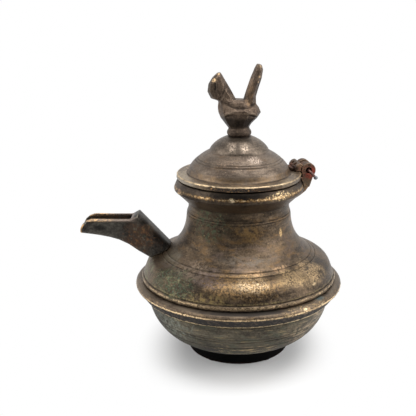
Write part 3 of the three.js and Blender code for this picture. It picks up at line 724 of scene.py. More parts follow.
class Finish(Graph):
    """A metal under patina, built up in layers from its main colour outwards."""

    def __init__(self, name, dark, light, roughness=0.45, metal=0.85, specular=0.5, smear=1.0):
        self.material = bpy.data.materials.new(name)
        self.material.use_nodes = True
        super().__init__(self.material.node_tree)
        self.tree.nodes.clear()
        self.where = self.add("ShaderNodeTexCoord", out=None).outputs["Object"]
        self.edge = self.add("ShaderNodeAttribute", out=None, attribute_name="edge").outputs["Fac"]
        self.crease = self.add("ShaderNodeAttribute", out=None, attribute_name="crease").outputs["Fac"]
        self.flow = self.add("ShaderNodeVectorMath", {0: self.where, 1: (smear, smear, 1)}, operation="MULTIPLY")
        cloud = self.noise(self.flow, CLOUD, 5.0, 0.62, 0.6)
        blotch = self.noise(self.flow, BLOTCH, 6.0, 0.7, 0.6)
        speck = self.noise(self.where, SPECK, 4.0, 0.7)
        mixed = self.sum(self.sum(self.times(cloud, 0.35), self.times(blotch, 0.35)), self.times(speck, 0.3))
        self.colour = self.blend(self.between(mixed, 0.39, 0.63), dark, light)
        self.roughness = self.span(blotch, roughness - 0.08, roughness + 0.12)
        self.metal = metal
        self.specular = specular
        self.relief = self.sum(self.times(blotch, 0.45), self.times(speck, 0.4))

    def both(self, masks):
        """1 where every mask of a group is 1; a mask by itself stays as it is."""
        if not isinstance(masks, tuple):
            return masks
        whole = masks[-1]
        for mask in reversed(masks[:-1]):
            whole = self.times(mask, whole)
        return whole

    def layer(self, masks, colour, roughness=None, metal=None, height=0.0):
        """A coat of another colour where the masks are 1."""
        mask = self.both(masks)
        self.colour = self.blend(mask, self.colour, colour)
        if roughness is not None:
            gap = self.less(roughness, self.roughness)
            self.roughness = self.sum(self.roughness, self.times(gap, mask))
        if metal is not None:
            self.metal = self.sum(self.metal, self.times(self.less(metal, self.metal), mask))
        if height:
            self.relief = self.sum(self.relief, self.times(mask, height))

    def patch(self, centre, reach, soft=0.6, wander=0.7):
        """1 in a region round a point, in millimetres, that fades out at its reach along X, Y and Z."""
        away = self.add(
            "ShaderNodeVectorMath", {0: self.where, 1: tuple(c * MM for c in centre)}, operation="SUBTRACT"
        )
        scaled = self.add(
            "ShaderNodeVectorMath", {0: away, 1: tuple(1 / (r * MM) for r in reach)}, operation="MULTIPLY"
        )
        far = self.add("ShaderNodeVectorMath", {0: scaled}, out=1, operation="LENGTH")
        ragged = self.times(self.less(self.noise(self.where, 7, 5.0, 0.7, 0.5), 0.5), wander * 2)
        return self.less(1.0, self.between(self.sum(far, ragged), 1 - soft, 1.0))

    def height(self):
        """The height above the floor, in metres."""
        return self.add("ShaderNodeSeparateXYZ", {0: self.where}, out=2)

    def level(self, low, high, soft=1.5):
        """1 between two heights, in millimetres."""
        above = self.between(self.height(), (low - soft) * MM, (low + soft) * MM)
        below = self.less(1.0, self.between(self.height(), (high - soft) * MM, (high + soft) * MM))
        return self.times(above, below)

    def outside(self, radius, soft=0.4):
        """1 farther from the pot's axis than a radius, in millimetres."""
        flat = self.add("ShaderNodeVectorMath", {0: self.where, 1: (1, 1, 0)}, operation="MULTIPLY")
        far = self.add("ShaderNodeVectorMath", {0: flat}, out=1, operation="LENGTH")
        return self.between(far, (radius - soft) * MM, (radius + soft) * MM)

    def grain(self, size, low, high, twist=0.3):
        """Speckles of a size, more of them where low is small."""
        return self.between(self.noise(self.where, size, 5.0, 0.7, twist), low, high)

    def streaks(self, size, low, high):
        """Patches drawn out round the piece."""
        return self.between(self.noise(self.flow, size, 5.0, 0.68, 0.4), low, high)

    def spot(self, centre, size, strength=0.85):
        """A small chip of ragged outline, of a size in millimetres, round a point."""
        whole = self.patch(centre, (size, size * 1.2, size * 0.6), 0.7, 0.25)
        return self.times(whole, self.times(self.grain(0.7, 0.4, 0.56), strength))

    def lathe(self, squeeze):
        """A place for noise that is drawn out round the piece."""
        along = self.add("ShaderNodeAttribute", out=None, attribute_name="along").outputs["Fac"]
        x = self.add("ShaderNodeSeparateXYZ", {0: self.where}, out=0)
        y = self.add("ShaderNodeSeparateXYZ", {0: self.where}, out=1)
        return self.add("ShaderNodeCombineXYZ", {0: self.times(x, squeeze), 1: self.times(y, squeeze), 2: along})

    def rings(self, strength=0.5):
        """Fine marks of the lathe round the piece."""
        vector = self.lathe(0.06)
        fine = self.noise(vector, 0.8, 3.0, 0.65)
        coarse = self.noise(vector, 3.0, 2.0, 0.5)
        marks = self.sum(self.times(fine, 0.6), self.times(coarse, 0.4))
        darker = self.times(self.less(1.0, self.between(marks, 0.34, 0.5)), strength)
        lighter = self.times(self.between(marks, 0.52, 0.66), strength * 0.6)
        self.colour = self.blend(darker, self.colour, self.dimmed(0.4))
        self.colour = self.blend(lighter, self.colour, self.dimmed(1.7))
        self.relief = self.sum(self.relief, self.times(marks, 0.8 * strength))

    def dimmed(self, factor):
        """The colour so far, darker or lighter by a factor."""
        return self.add("ShaderNodeVectorMath", {0: self.colour, "Scale": factor}, operation="SCALE")

    def shade_and_patina(self, masks, factor=0.4):
        """Darkens the metal where the masks are 1: painted shade in some places, darker patina in others."""
        self.colour = self.blend(self.both(masks), self.colour, self.dimmed(factor))

    def worn_edges(self, colour, start=0.35, end=0.75, roughness=0.32, strength=1.0):
        """Bright metal along the edges, broken up."""
        broken = self.times(self.less(self.noise(self.where, 1.8, 5.0, 0.75), 0.5), 1.8)
        mask = self.between(self.sum(self.edge, self.times(broken, self.between(self.edge, 0.02, 0.3))), start, end)
        self.layer(self.times(mask, strength), colour, roughness, BARE)

    def bright_ring(self, height, half, colour, strength=1.0, broken=0.45, beyond=0.0):
        """A worn line round the piece at a height, broken up, and only beyond a radius."""
        away = self.add("ShaderNodeMath", {0: self.less(self.height(), height * MM)}, operation="ABSOLUTE")
        ragged = self.times(self.less(self.noise(self.where, 1.7, 5.0, 0.75), 0.5), half * 5 * MM)
        near = self.less(1.0, self.between(self.sum(away, ragged), half * 0.35 * MM, half * 0.9 * MM))
        if beyond:
            near = self.times(near, self.outside(beyond))
        holes = self.between(self.noise(self.where, 1.4, 5.0, 0.75), broken - 0.05, broken + 0.04)
        worn = self.span(self.between(self.noise(self.where, 16, 3.0, 0.6), 0.38, 0.6), 0.45, 1.0)
        self.layer(self.times(self.times(near, holes), self.times(worn, strength)), colour, POLISHED, BARE)

    def scratches(self, mask, colour, low=0.6):
        """Short bright strokes round the piece where the mask is 1."""
        strokes = self.between(self.noise(self.lathe(0.12), 0.9, 3.0, 0.6, 0.4), low, low + 0.06)
        self.layer((strokes, mask), colour, POLISHED, BARE)

    def dark_creases(self, colour, start=0.12, end=0.6, strength=0.8):
        """Dirt in the creases and incised lines."""
        uneven = self.span(self.between(self.noise(self.where, 7, 4.0, 0.65), 0.35, 0.6), 0.35, 1.0)
        mask = self.times(self.between(self.crease, start, end), self.times(uneven, strength))
        self.layer(mask, colour, 0.75)

    def done(self, bump=0.55, fine=0.35):
        """Joins the layers in one shader, with fine relief."""
        pits = self.noise(self.where, PIT, 4.0, 0.7)
        height = self.sum(self.relief, self.times(pits, fine))
        normal = self.add("ShaderNodeBump", {"Strength": bump, "Distance": BUMP_HEIGHT * MM, "Height": height})
        shader = self.add(
            "ShaderNodeBsdfPrincipled",
            {
                "Base Color": self.colour, "Roughness": self.roughness, "Metallic": self.metal, "Normal": normal,
                "Specular IOR Level": self.specular,
            },
        )
        output = self.add("ShaderNodeOutputMaterial", out=None)
        self.plug(output.inputs["Surface"], shader)
        return self.material


def opaque(red, green, blue):
    """A colour as it is seen on screen, as a shader's colour."""
    return (*tone(red, green, blue), 1)


def colours():
    """The colours that a user can change, as a shader's colours."""
    return {name: (*getattr(bpy.context.scene.pot_colours, name), 1) for name in PotColours.__annotations__}


def body_finish():
    """Neck and shoulder: brown patina, worn to gold on the front of the shoulder, there partly a painted highlight,
    green at its lower left, with painted shade on the neck under the collar, across its front and on its sweep.
    """
    c = colours()
    finish = Finish("neck and shoulder patina", c["dark"], c["brown"], 0.42, 0.85, smear=0.4)
    finish.rings(0.55)
    warm = finish.times(finish.level(64, 92, 6), finish.streaks(3.4, 0.5, 0.64))
    finish.layer((warm, 0.55), opaque(130, 100, 64), 0.42)
    cool = finish.times(finish.level(60, 80, 5), finish.streaks(5, 0.52, 0.66))
    finish.layer((cool, 0.5), opaque(112, 96, 86), 0.42)
    # Painted shade on the top of the neck, under the collar.
    finish.shade_and_patina((finish.level(91.5, 99, 1.5), finish.streaks(6, 0.36, 0.6)), 0.45)
    # Painted shade on the left of the neck's sweep, and a lighter painted shade on its right.
    for centre, reach, strength, factor in (
        ((-22, -32, 80), (20, 24, 20), 0.95, 0.45), ((30, -28, 76), (14, 18, 14), 0.7, 0.7),
    ):
        finish.shade_and_patina((finish.patch(centre, reach, 0.8), strength), factor)
    # Painted shade across the middle of the neck's front.
    middle = finish.patch((-7, -33, 88), (12, 20, 12), 0.8)
    finish.shade_and_patina((middle, finish.grain(9, 0.34, 0.5)), 0.6)
    ochre = finish.patch((6, -33, 84.6), (10, 10, 6.5), 0.5, 1.1)
    finish.layer((ochre, finish.grain(2.2, 0.38, 0.62)), opaque(134, 106, 68), 0.42)
    finish.shade_and_patina((ochre, finish.streaks(1.2, 0.5, 0.6), 0.5), 0.6)
    slate = finish.patch((6, -40, 69.6), (22, 16, 4))
    finish.layer((slate, finish.streaks(2.6, 0.4, 0.62)), opaque(100, 91, 81), 0.42)
    # Worn gold on the front of the shoulder, brighter in its middle, where it is partly a painted highlight.
    wear_and_painted_highlight = finish.patch((4, -53, 59.5), (30, 18, 9))
    finish.layer((wear_and_painted_highlight, finish.grain(1.3, 0.42, 0.64)), opaque(164, 132, 90), 0.5, BARE, 0.1)
    bright = finish.patch((8, -53, 60.6), (14, 14, 5), 0.7, 0.9)
    finish.layer((bright, finish.grain(0.8, 0.48, 0.6)), opaque(212, 188, 152), 0.46, BARE)
    mauve = finish.patch((-18, -48, 63), (12, 14, 6))
    finish.layer((mauve, finish.grain(2.4, 0.4, 0.6)), opaque(104, 90, 84), 0.45)
    finish.shade_and_patina((finish.patch((14, -56, 55), (24, 12, 3.6)), finish.grain(2, 0.42, 0.56)), 0.4)
    for centre, reach, low, factor in (
        ((-24, -50, 58), (10, 12, 6), 0.36, 0.45), ((30, -49, 57), (7, 9, 6), 0.38, 0.75),
    ):
        finish.shade_and_patina((finish.patch(centre, reach), finish.grain(3, low, 0.56)), factor)
    right = finish.patch((44, -32, 61), (16, 18, 9))
    fine = finish.times(finish.grain(1.0, 0.4, 0.56), finish.grain(6, 0.36, 0.54))
    finish.layer((right, fine), opaque(176, 150, 114), 0.46, 0.9)
    for centre in ((10, -43.5, 64.6), (24, -38, 65.4)):
        between_lines = finish.times(finish.patch(centre, (7, 8, 1.7), 0.6, 1.3), finish.grain(1.5, 0.42, 0.56))
        finish.layer((between_lines, 0.7), opaque(180, 148, 114), 0.45, 0.9)
    more = finish.patch((33, -43, 61), (16, 14, 5))
    finish.layer((more, finish.grain(1.1, 0.42, 0.6)), opaque(172, 146, 108), 0.48, 0.9)
    lighter = finish.patch((-30, -41, 65), (18, 16, 6))
    finish.layer((lighter, finish.grain(2.2, 0.4, 0.62)), opaque(138, 120, 102), 0.45, 0.85)
    finish.layer(finish.spot((44.4, -36.9, 55.5), 2.0), c["pale"], 0.36, BARE)
    pale_left = finish.patch((-44, -22, 68), (12, 14, 7))
    finish.layer((pale_left, 0.6), opaque(136, 128, 110), 0.45, 0.8)
    low = finish.patch((-16, -56, 53), (20, 12, 4))
    finish.layer((low, finish.grain(2, 0.46, 0.6)), opaque(140, 120, 80), 0.45, 0.8)
    green = finish.patch((-40, -41, 56), (22, 24, 9))
    finish.shade_and_patina((green, finish.grain(3.2, 0.38, 0.58)), 0.5)
    finish.layer((green, finish.grain(1.4, 0.46, 0.62)), opaque(66, 78, 52), 0.75, 0.4, 0.2)
    finish.layer((green, finish.grain(1.0, 0.54, 0.64), 0.8), opaque(96, 116, 96), 0.8, 0.3)
    finish.layer((green, finish.streaks(1.6, 0.54, 0.62), 0.45), opaque(140, 138, 104), 0.6)
    far_green = finish.patch((-56, -16, 56), (10, 20, 8))
    finish.layer((far_green, finish.grain(2.2, 0.46, 0.6)), opaque(128, 126, 102), 0.7, 0.5)
    neck_green = finish.patch((-18, -26, 88), (16, 16, 12))
    finish.layer((neck_green, finish.grain(2, 0.48, 0.6)), opaque(70, 76, 54), 0.7, 0.5)
    scratch = finish.patch((25, -21.5, 82), (1.3, 2, 3.6), 0.5, 0.4)
    finish.layer((scratch, finish.grain(0.8, 0.42, 0.52)), opaque(206, 172, 122), POLISHED, BARE)
    finish.layer((finish.grain(0.9, 0.62, 0.68), 0.4), c["gold"], 0.38)
    finish.shade_and_patina((finish.grain(1.1, 0.53, 0.63), 0.6), 0.55)
    bead = finish.level(46, 50.6, 0.15)
    finish.layer((bead, finish.streaks(2.4, 0.36, 0.62)), opaque(116, 99, 79), 0.45)
    finish.shade_and_patina((bead, finish.grain(2.2, 0.44, 0.6)), 0.5)
    finish.bright_ring(51.5, 0.5, opaque(150, 134, 92), 0.6, 0.5)
    finish.bright_ring(49.5, 0.6, opaque(196, 170, 132), 0.8, 0.47)
    finish.dark_creases(c["soot"], strength=0.75)
    return finish.done()


def collar_finish():
    """Mouth collar: dark face with painted shadow at the front under the lid's flange, gold chips along its widest
    part.
    """
    c = colours()
    finish = Finish("mouth collar patina", opaque(38, 31, 26), opaque(96, 83, 69), 0.45, 0.85, smear=0.4)
    finish.rings(0.4)
    # Painted shadow on the front of the collar's face, under the lid's flange.
    front = finish.patch((2, -40, 108.6), (30, 18, 3.6), 0.6, 0.4)
    finish.shade_and_patina(front, 0.22)
    finish.bright_ring(106.1, 1.0, opaque(150, 116, 72), 0.85, 0.45)
    finish.bright_ring(106.2, 0.5, c["pale"], 0.85, 0.55)
    finish.shade_and_patina((finish.patch((-30, -24, 105), (14, 16, 8)), 0.85), 0.55)
    flecks = finish.patch((25, -30, 106.8), (13, 14, 2.8))
    finish.layer((flecks, finish.grain(0.9, 0.53, 0.6)), opaque(226, 196, 148), 0.34, BARE)
    finish.layer(finish.spot((-3.8, -38.8, 106.2), 2.6, 1.0), opaque(240, 218, 180), 0.36, BARE)
    left_chips = finish.patch((-37, -14, 105), (6, 12, 1.6), 0.4, 0.4)
    finish.layer((left_chips, finish.grain(1.4, 0.5, 0.58)), opaque(206, 172, 126), POLISHED, BARE)
    finish.layer(finish.spot((-35.3, -16.7, 106.3), 2.2), opaque(176, 138, 116), 0.4)
    under = finish.times(finish.level(97, 103.4, 1.4), finish.grain(6, 0.3, 0.56))
    finish.layer((under, 0.7), opaque(94, 76, 56), 0.45)
    finish.dark_creases(c["soot"])
    return finish.done()


def lid_finish():
    """Lid: brown-grey with turning marks, gold along its flange and in the corner at the dome's foot, and painted
    highlights on the dome.
    """
    c = colours()
    finish = Finish("lid patina", opaque(76, 65, 56), opaque(128, 114, 100), 0.42, 0.85, smear=0.4)
    finish.rings(0.5)
    finish.layer((finish.streaks(3, 0.52, 0.66), 0.3), opaque(126, 98, 68), 0.4)
    finish.layer((finish.grain(0.9, 0.6, 0.68), 0.5), opaque(190, 166, 142), 0.36)
    finish.shade_and_patina((finish.grain(1.1, 0.54, 0.64), 0.5), 0.6)
    corner = finish.times(finish.level(113.95, 117, 0.6), finish.grain(4, 0.34, 0.6))
    finish.layer((corner, 0.5), opaque(138, 112, 80), 0.42)
    rim = finish.level(110.4, 113.1, 0.25)
    finish.layer((rim, finish.grain(2, 0.4, 0.62)), opaque(122, 108, 88), 0.42)
    pale = finish.times(rim, finish.patch((-32, -20, 112), (12, 16, 6), 0.6))
    finish.layer((pale, finish.grain(1.6, 0.36, 0.56)), opaque(156, 146, 130), 0.42)
    front = finish.times(rim, finish.patch((2, -38, 112), (26, 18, 6), 0.5))
    finish.layer((front, 0.9), opaque(84, 60, 38), 0.5)
    dark_chips = finish.patch((0, -38, 111.8), (26, 16, 2.4), 0.5)
    finish.layer((dark_chips, finish.grain(1.4, 0.36, 0.46)), opaque(26, 17, 14), 0.75, 0.2)
    bright_chips = finish.patch((-4, -38, 112), (20, 14, 2.4), 0.5)
    finish.layer((bright_chips, finish.grain(0.9, 0.57, 0.62)), opaque(206, 160, 108), 0.4, BARE)
    top = finish.times(finish.level(113.2, 114.3, 0.25), finish.outside(32.2))
    finish.layer((top, finish.streaks(3, 0.46, 0.64)), opaque(150, 131, 106), 0.42, 0.88)
    finish.layer((top, finish.grain(1.1, 0.54, 0.62), 0.7), opaque(190, 166, 130), 0.42, 0.9)
    top_left = finish.times(top, finish.patch((-34, -12, 114), (10, 22, 5)))
    finish.layer((top_left, finish.grain(1.8, 0.38, 0.6)), opaque(158, 144, 121), 0.42, 0.9)
    finish.bright_ring(113.4, 0.6, opaque(222, 196, 156), 1.0, 0.42, beyond=37.3)
    finish.bright_ring(110.9, 0.4, c["gold"], 0.5, 0.54)
    # Painted highlights on the dome, a bright one and a faint one.
    shine = finish.patch((9.6, -19.2, 125.4), (6, 6, 4), 0.8, 0.5)
    finish.layer((shine, finish.grain(0.9, 0.42, 0.6)), opaque(188, 170, 154), POLISHED, BARE)
    faint_painted_highlight = finish.patch((-9, -21, 124), (7, 6, 3), 0.8, 0.5)
    finish.layer((faint_painted_highlight, finish.grain(0.9, 0.46, 0.62)), opaque(150, 128, 108), 0.4, BARE)
    finish.dark_creases(c["dark"], 0.1, 0.7, 0.7)
    return finish.done()


def seat_finish():
    """Knob seat: the lid's brown-grey, with two painted highlights in front and a painted dark reflection between them.
    """
    finish = Finish("knob seat patina", opaque(74, 65, 56), opaque(132, 118, 104), 0.4, 0.85, smear=0.4)
    finish.rings(0.5)
    # Two painted highlights in front, and a painted dark reflection between them.
    for x, width in ((-4.6, 3.2), (3.4, 2.6)):
        wear_and_painted_highlight = finish.patch((x, -14, 131.4), (width, 8, 5), 0.8, 0.5)
        finish.layer((wear_and_painted_highlight, finish.grain(1.1, 0.44, 0.62)), opaque(186, 168, 150), 0.42, BARE)
    painted_dark_reflection = finish.patch((-0.6, -14, 131.4), (1.7, 8, 5), 0.6, 0.3)
    finish.shade_and_patina((painted_dark_reflection, 0.8), 0.5)
    return finish.done()


def band_finish():
    """Belly band: brown face, bright worn edges, and below them a cove painted dark as the shadow under the overhanging
    edge.
    """
    c = colours()
    finish = Finish("belly band patina", opaque(66, 56, 47), opaque(136, 118, 98), 0.42, 0.85, smear=0.4)
    finish.rings(0.4)
    # Painted shadow under the band's overhanging edge, mottled, and lighter at the left.
    painted_shade_below = finish.level(30, 43.7, 0.2)
    finish.layer(painted_shade_below, opaque(26, 22, 18), 0.85, 0.15)
    finish.layer((painted_shade_below, finish.grain(2.2, 0.48, 0.6), 0.7), opaque(70, 54, 38), 0.5, 0.6)
    finish.layer((painted_shade_below, finish.grain(1.5, 0.5, 0.58), 0.8), opaque(18, 15, 12), 0.8, 0.1)
    left = finish.times(painted_shade_below, finish.patch((-60, -14, 41), (16, 24, 8)))
    finish.layer((left, 0.8), opaque(96, 94, 84), 0.5, 0.7)
    trough = finish.level(46.4, 50, 0.3)
    finish.layer((trough, finish.streaks(4, 0.34, 0.6)), opaque(104, 92, 78), 0.5, 0.8)
    # Painted shade in the groove at the front.
    front = finish.patch((4, -62, 47), (44, 24, 12), 0.7, 0.4)
    finish.layer((trough, front, 0.9), opaque(34, 28, 23), 0.7, 0.4)
    face = finish.level(44, 46.2, 0.4)
    finish.layer((face, finish.streaks(2.4, 0.54, 0.64), 0.5), opaque(168, 140, 104), 0.4)
    worn = finish.patch((40, -48, 45), (26, 20, 4))
    finish.layer((worn, finish.grain(1.3, 0.5, 0.62)), opaque(172, 146, 108), 0.42, BARE)
    finish.bright_ring(44.3, 0.7, opaque(176, 142, 98), 0.85, 0.45)
    finish.bright_ring(44.3, 0.5, opaque(240, 212, 168), 1.0, 0.44)
    finish.bright_ring(37.9, 0.6, opaque(222, 196, 150), 1.0, 0.42)
    for centre in ((51.5, -38.7, 44), (38.1, -50.7, 45.4), (-44.4, -40, 48), (49, -41.5, 44.6)):
        finish.layer(finish.spot(centre, 1.9), opaque(234, 210, 168), POLISHED, BARE)
    patch = finish.patch((46, -38, 47), (5, 5, 1.6))
    finish.layer((patch, 0.7), opaque(72, 92, 94), 0.7, 0.3)
    finish.dark_creases(c["soot"])
    return finish.done()


def bowl_finish():
    """Lower bowl: grey-green, with turning marks, and painted shade low down where it turns under."""
    c = colours()
    finish = Finish("lower bowl patina", opaque(50, 45, 38), opaque(98, 91, 77), 0.48, 0.8, smear=0.35)
    finish.rings(1.0)
    finish.layer((finish.streaks(2.6, 0.5, 0.64), 0.5), opaque(80, 85, 71), 0.65, 0.55)
    left = finish.patch((-38, -38, 28), (18, 24, 12))
    finish.layer((left, finish.grain(2.4, 0.42, 0.62)), opaque(124, 127, 115), 0.6, 0.6)
    right = finish.patch((42, -30, 26), (24, 30, 14))
    finish.layer((right, finish.streaks(2.4, 0.44, 0.62)), opaque(152, 134, 108), 0.42)
    finish.scratches(finish.patch((4, -46, 16), (26, 18, 8)), opaque(206, 180, 132), 0.55)
    finish.scratches(finish.times(finish.level(10, 36, 3), 0.5), opaque(150, 132, 98), 0.6)
    # Painted shade low on the bowl, where it turns under towards the foot.
    finish.shade_and_patina((finish.level(0, 13.5, 1.6), 0.8), 0.55)
    finish.dark_creases(c["soot"], strength=0.7)
    return finish.done()


def foot_finish():
    """Foot: painted nearly black as the shadow under the bowl, a little rust on its lower edge."""
    finish = Finish("foot in painted shadow", opaque(3, 2, 2), opaque(9, 8, 7), roughness=0.8, metal=0.0, specular=0.08)
    finish.bright_ring(0.5, 0.8, opaque(84, 44, 26), 0.6, 0.5)
    return finish.done(0.3)


def spout_finish():
    """Spout: dark, rusty near the shoulder, with a worn rim whose top is partly a painted highlight."""
    c = colours()
    finish = Finish("spout patina", opaque(36, 33, 30), opaque(86, 82, 75), 0.42, 0.8)
    brown = finish.patch((-60, -7, 74), (15, 12, 13))
    finish.layer((brown, finish.grain(5, 0.36, 0.56)), opaque(66, 48, 35), 0.55, 0.6)
    finish.layer((brown, finish.grain(2.6, 0.5, 0.64), 0.75), opaque(112, 78, 48), 0.55, 0.6)
    finish.layer((brown, finish.grain(3.6, 0.54, 0.64), 0.6), opaque(104, 98, 84), 0.55, 0.6)
    moss = finish.patch((-58, -6, 80), (10, 12, 8))
    finish.layer((moss, finish.grain(2, 0.55, 0.64)), opaque(68, 72, 48), 0.7, 0.4)
    for centre, reach in (((-50, -7, 74), (4.5, 8, 5)), ((-57, -7, 84), (5, 8, 4)), ((-86, -8, 80), (5, 4, 2.4))):
        finish.shade_and_patina((finish.patch(centre, reach), finish.grain(2.4, 0.36, 0.54)), 0.25)
    inside = finish.patch((-80, 3, 82), (20, 8, 6), 0.3, 0.2)
    finish.layer((inside, finish.grain(1.8, 0.42, 0.58)), opaque(88, 66, 46), 0.5, 0.7)
    finish.worn_edges(opaque(128, 122, 110), 0.35, 1.0, 0.42, 0.5)
    # Lighter top of the rim, partly worn metal and partly a painted highlight from above.
    rim = finish.times(finish.level(83.6, 86.5, 0.35), finish.patch((-84, 0, 85), (26, 22, 6), 0.3, 0.2))
    finish.layer((rim, 0.85), opaque(128, 114, 104), 0.4, 0.9)
    bright = finish.times(rim, finish.patch((-89, 0, 85), (14, 22, 6), 0.6, 0.4))
    finish.layer((bright, finish.grain(1.5, 0.42, 0.56)), opaque(212, 176, 134), POLISHED, BARE)
    lip = finish.patch((-96.6, -5, 80), (2.6, 9, 6), 0.6, 0.3)
    finish.layer((lip, finish.between(finish.edge, 0.3, 0.8)), opaque(186, 148, 104), 0.4, BARE)
    finish.dark_creases(c["soot"])
    return finish.done()


def bird_finish():
    """Bird: as-cast brown, with painted shade below, darker on the head, and worn spots on head and tail that are
    partly painted highlights.
    """
    c = colours()
    finish = Finish("bird knob patina", opaque(62, 50, 42), opaque(122, 104, 88), 0.48, 0.8)
    finish.layer((finish.grain(1.4, 0.56, 0.66), 0.5), opaque(150, 130, 108), 0.42)
    # Painted shade under the bird's body, and a lighter painted shade on the knob beneath it.
    finish.shade_and_patina((finish.level(141.4, 148.4, 1.8), 0.95), 0.2)
    finish.shade_and_patina((finish.level(130, 140.6, 0.8), 0.8), 0.6)
    for centre, reach, strength in (((-16.5, 0, 165), (6.4, 12, 9), 0.9), ((12.6, -4, 163), (4.2, 8, 11), 0.8)):
        finish.shade_and_patina((finish.patch(centre, reach, 0.4, 0.3), strength), 0.4)
    gold = finish.patch((5.6, -4, 164), (3.4, 8, 13), 0.4, 0.3)
    finish.layer((gold, finish.grain(2.4, 0.4, 0.6), 0.55), opaque(140, 112, 82), 0.42)
    # Worn spots on the head and tail, partly painted highlights on the ridges.
    for centre, size in (
        ((-15.3, -4.5, 169.7), 3.0), ((-12.8, -3, 173.4), 2.4), ((12.0, -3.5, 171.6), 1.6), ((11.4, -3.5, 168.6), 1.4),
        ((12.8, -2, 177.6), 1.8),
    ):
        finish.layer(finish.spot(centre, size), opaque(206, 174, 132), 0.4, BARE)
    finish.worn_edges(opaque(144, 128, 110), 0.4, 1.2, 0.44, 0.55)
    finish.dark_creases(c["soot"], 0.1, 0.7, 0.75)
    return finish.done()


def iron_finish():
    """Bracket and leaf: rusty brown, red below, brassy on the root."""
    c = colours()
    finish = Finish("rusty hinge", opaque(52, 36, 29), opaque(112, 80, 62), 0.6, 0.6)
    finish.layer(finish.grain(1.8, 0.46, 0.62), c["rust"], 0.75, 0.25, 0.2)
    web = finish.less(1.0, finish.between(finish.height(), 107 * MM, 112 * MM))
    finish.layer(web, opaque(98, 84, 68), 0.45, 0.85)
    finish.layer((web, finish.grain(1.6, 0.52, 0.64)), opaque(128, 92, 60), 0.5, 0.7)
    olive = finish.times(finish.between(finish.height(), 116.5 * MM, 118.5 * MM), finish.grain(5, 0.3, 0.5))
    finish.layer((olive, 0.8), opaque(72, 60, 44), 0.5, 0.7)
    red = finish.patch((44.6, 2, 112.3), (4.6, 9, 4.4))
    finish.layer((red, finish.grain(1.4, 0.38, 0.56)), opaque(140, 54, 36), 0.7, 0.3)
    tan = finish.patch((37, -1, 116.5), (5, 9, 3.6))
    finish.layer((tan, finish.grain(2.2, 0.4, 0.58)), opaque(122, 96, 74), 0.5, 0.7)
    finish.worn_edges(opaque(150, 124, 104), 0.4, 1.1, 0.45, 0.6)
    finish.shade_and_patina(finish.patch((34, -1, 115.5), (3, 14, 3), 0.6, 0.5), 0.3)
    finish.dark_creases(c["soot"])
    return finish.done()


def wire_finish():
    """Pin: dull wire with a bare grey tip."""
    c = colours()
    finish = Finish("hinge wire", opaque(84, 64, 60), c["wire"], 0.45, 0.85)
    finish.layer(finish.grain(1.6, 0.55, 0.66), c["rust"], 0.7, 0.4)
    tip = finish.patch((47.4, -0.8, 110.2), (2.2, 3, 2.2), 0.5, 0.2)
    finish.layer(tip, opaque(118, 122, 126), 0.45, 0.8)
    return finish.done()


# Pieces


def outside_of_upper_body(profile, margin=0.0):
    """Bead, shoulder, hollow sweep and neck, pushed out by a margin."""
    profile.to((BEAD_RADIUS - 0.5 + margin, BEAD_FOOT - margin), (BEAD_RADIUS + margin, BEAD_FOOT + 1))
    profile.to((BEAD_RADIUS - 0.25 + margin, BEAD_TOP + margin / 2))
    profile.bend(SHOULDER_RADIUS + margin, SHOULDER_TURN + margin, SHOULDER_CURVE)
    profile.bend(SWEEP_TOP_RADIUS + margin, SWEEP_TOP, SWEEP_CURVE)
    return profile.to((NECK_RADIUS + margin, NECK_FOOT), (NECK_RADIUS + margin, MOUTH))


SPOUT_STATIONS = [
    ((8.6, 2.7), (-1.5, -6.5)), ((4.6, 7.0), (-5.6, -2.8)), ((-4.3, 16.6), (-13.2, 1.8)), ((-12.8, 25.6), (-18.8, 5.9)),
    ((-17.5, 22.3), (-24.6, 8.8)), ((-30.3, 22.2), (-30.3, 10.5)), ((-36.4, 22.3), (-36.4, 11.7)),
    ((-41.2, 22.3), (-41.2, 12.4)), ((-44.6, 21.1), (-44.5, 12.8)), ((-47.2, 18.7), (-47.1, 13.1)),
    ((-48.4, 16.2), (-48.3, 13.4)),
]
SPOUT_PLACE = (-49.0, 62.8)
SPOUT_HOOD = 3
SPOUT_HALF = 7.7
SPOUT_BEVEL = 1.8
SPOUT_CROWN = 3.0
SPOUT_CROWN_ACROSS = 5.8
SPOUT_WALL = 2.3


def spout_section(top, bottom, half, bevel, crown=None, crown_across=None):
    """A section with rounded corners between two points of the side view, in the pot's own place."""
    height = math.dist(top, bottom)
    low = min(bevel, height / 3)
    high = min(crown or bevel, height / 3)
    wide = crown_across or high
    corners = []
    for turn, (along, across, reach, width) in enumerate((
        (height - high, half - wide, high, wide), (low, half - low, low, low),
        (low, low - half, low, low), (height - high, wide - half, high, wide),
    )):
        for a, b in arc((0, 0), 1, turn * math.pi / 2, (turn + 1) * math.pi / 2, 4):
            corners.append(((along + a * reach) / height, across + b * width))
    return [
        (
            SPOUT_PLACE[0] + bottom[0] + (top[0] - bottom[0]) * t,
            y,
            SPOUT_PLACE[1] + bottom[1] + (top[1] - bottom[1]) * t,
        )
        for t, y in corners
    ]


def spout_bore():
    """What is cut out of the spout's tube and of the shoulder behind it."""
    half = SPOUT_HALF - SPOUT_WALL
    sections = []
    for top, bottom in SPOUT_STATIONS[: SPOUT_HOOD + 2]:
        share = SPOUT_WALL / math.dist(top, bottom)
        high = [t + (b - t) * share for t, b in zip(top, bottom)]
        low = [b + (t - b) * share for t, b in zip(top, bottom)]
        sections.append(spout_section(high, low, half, SPOUT_BEVEL / 2))
    inner = [(x + 2 * WALL, y, z - 2 * WALL) for x, y, z in sections[0]]
    return lofted("bore", [inner, *sections])


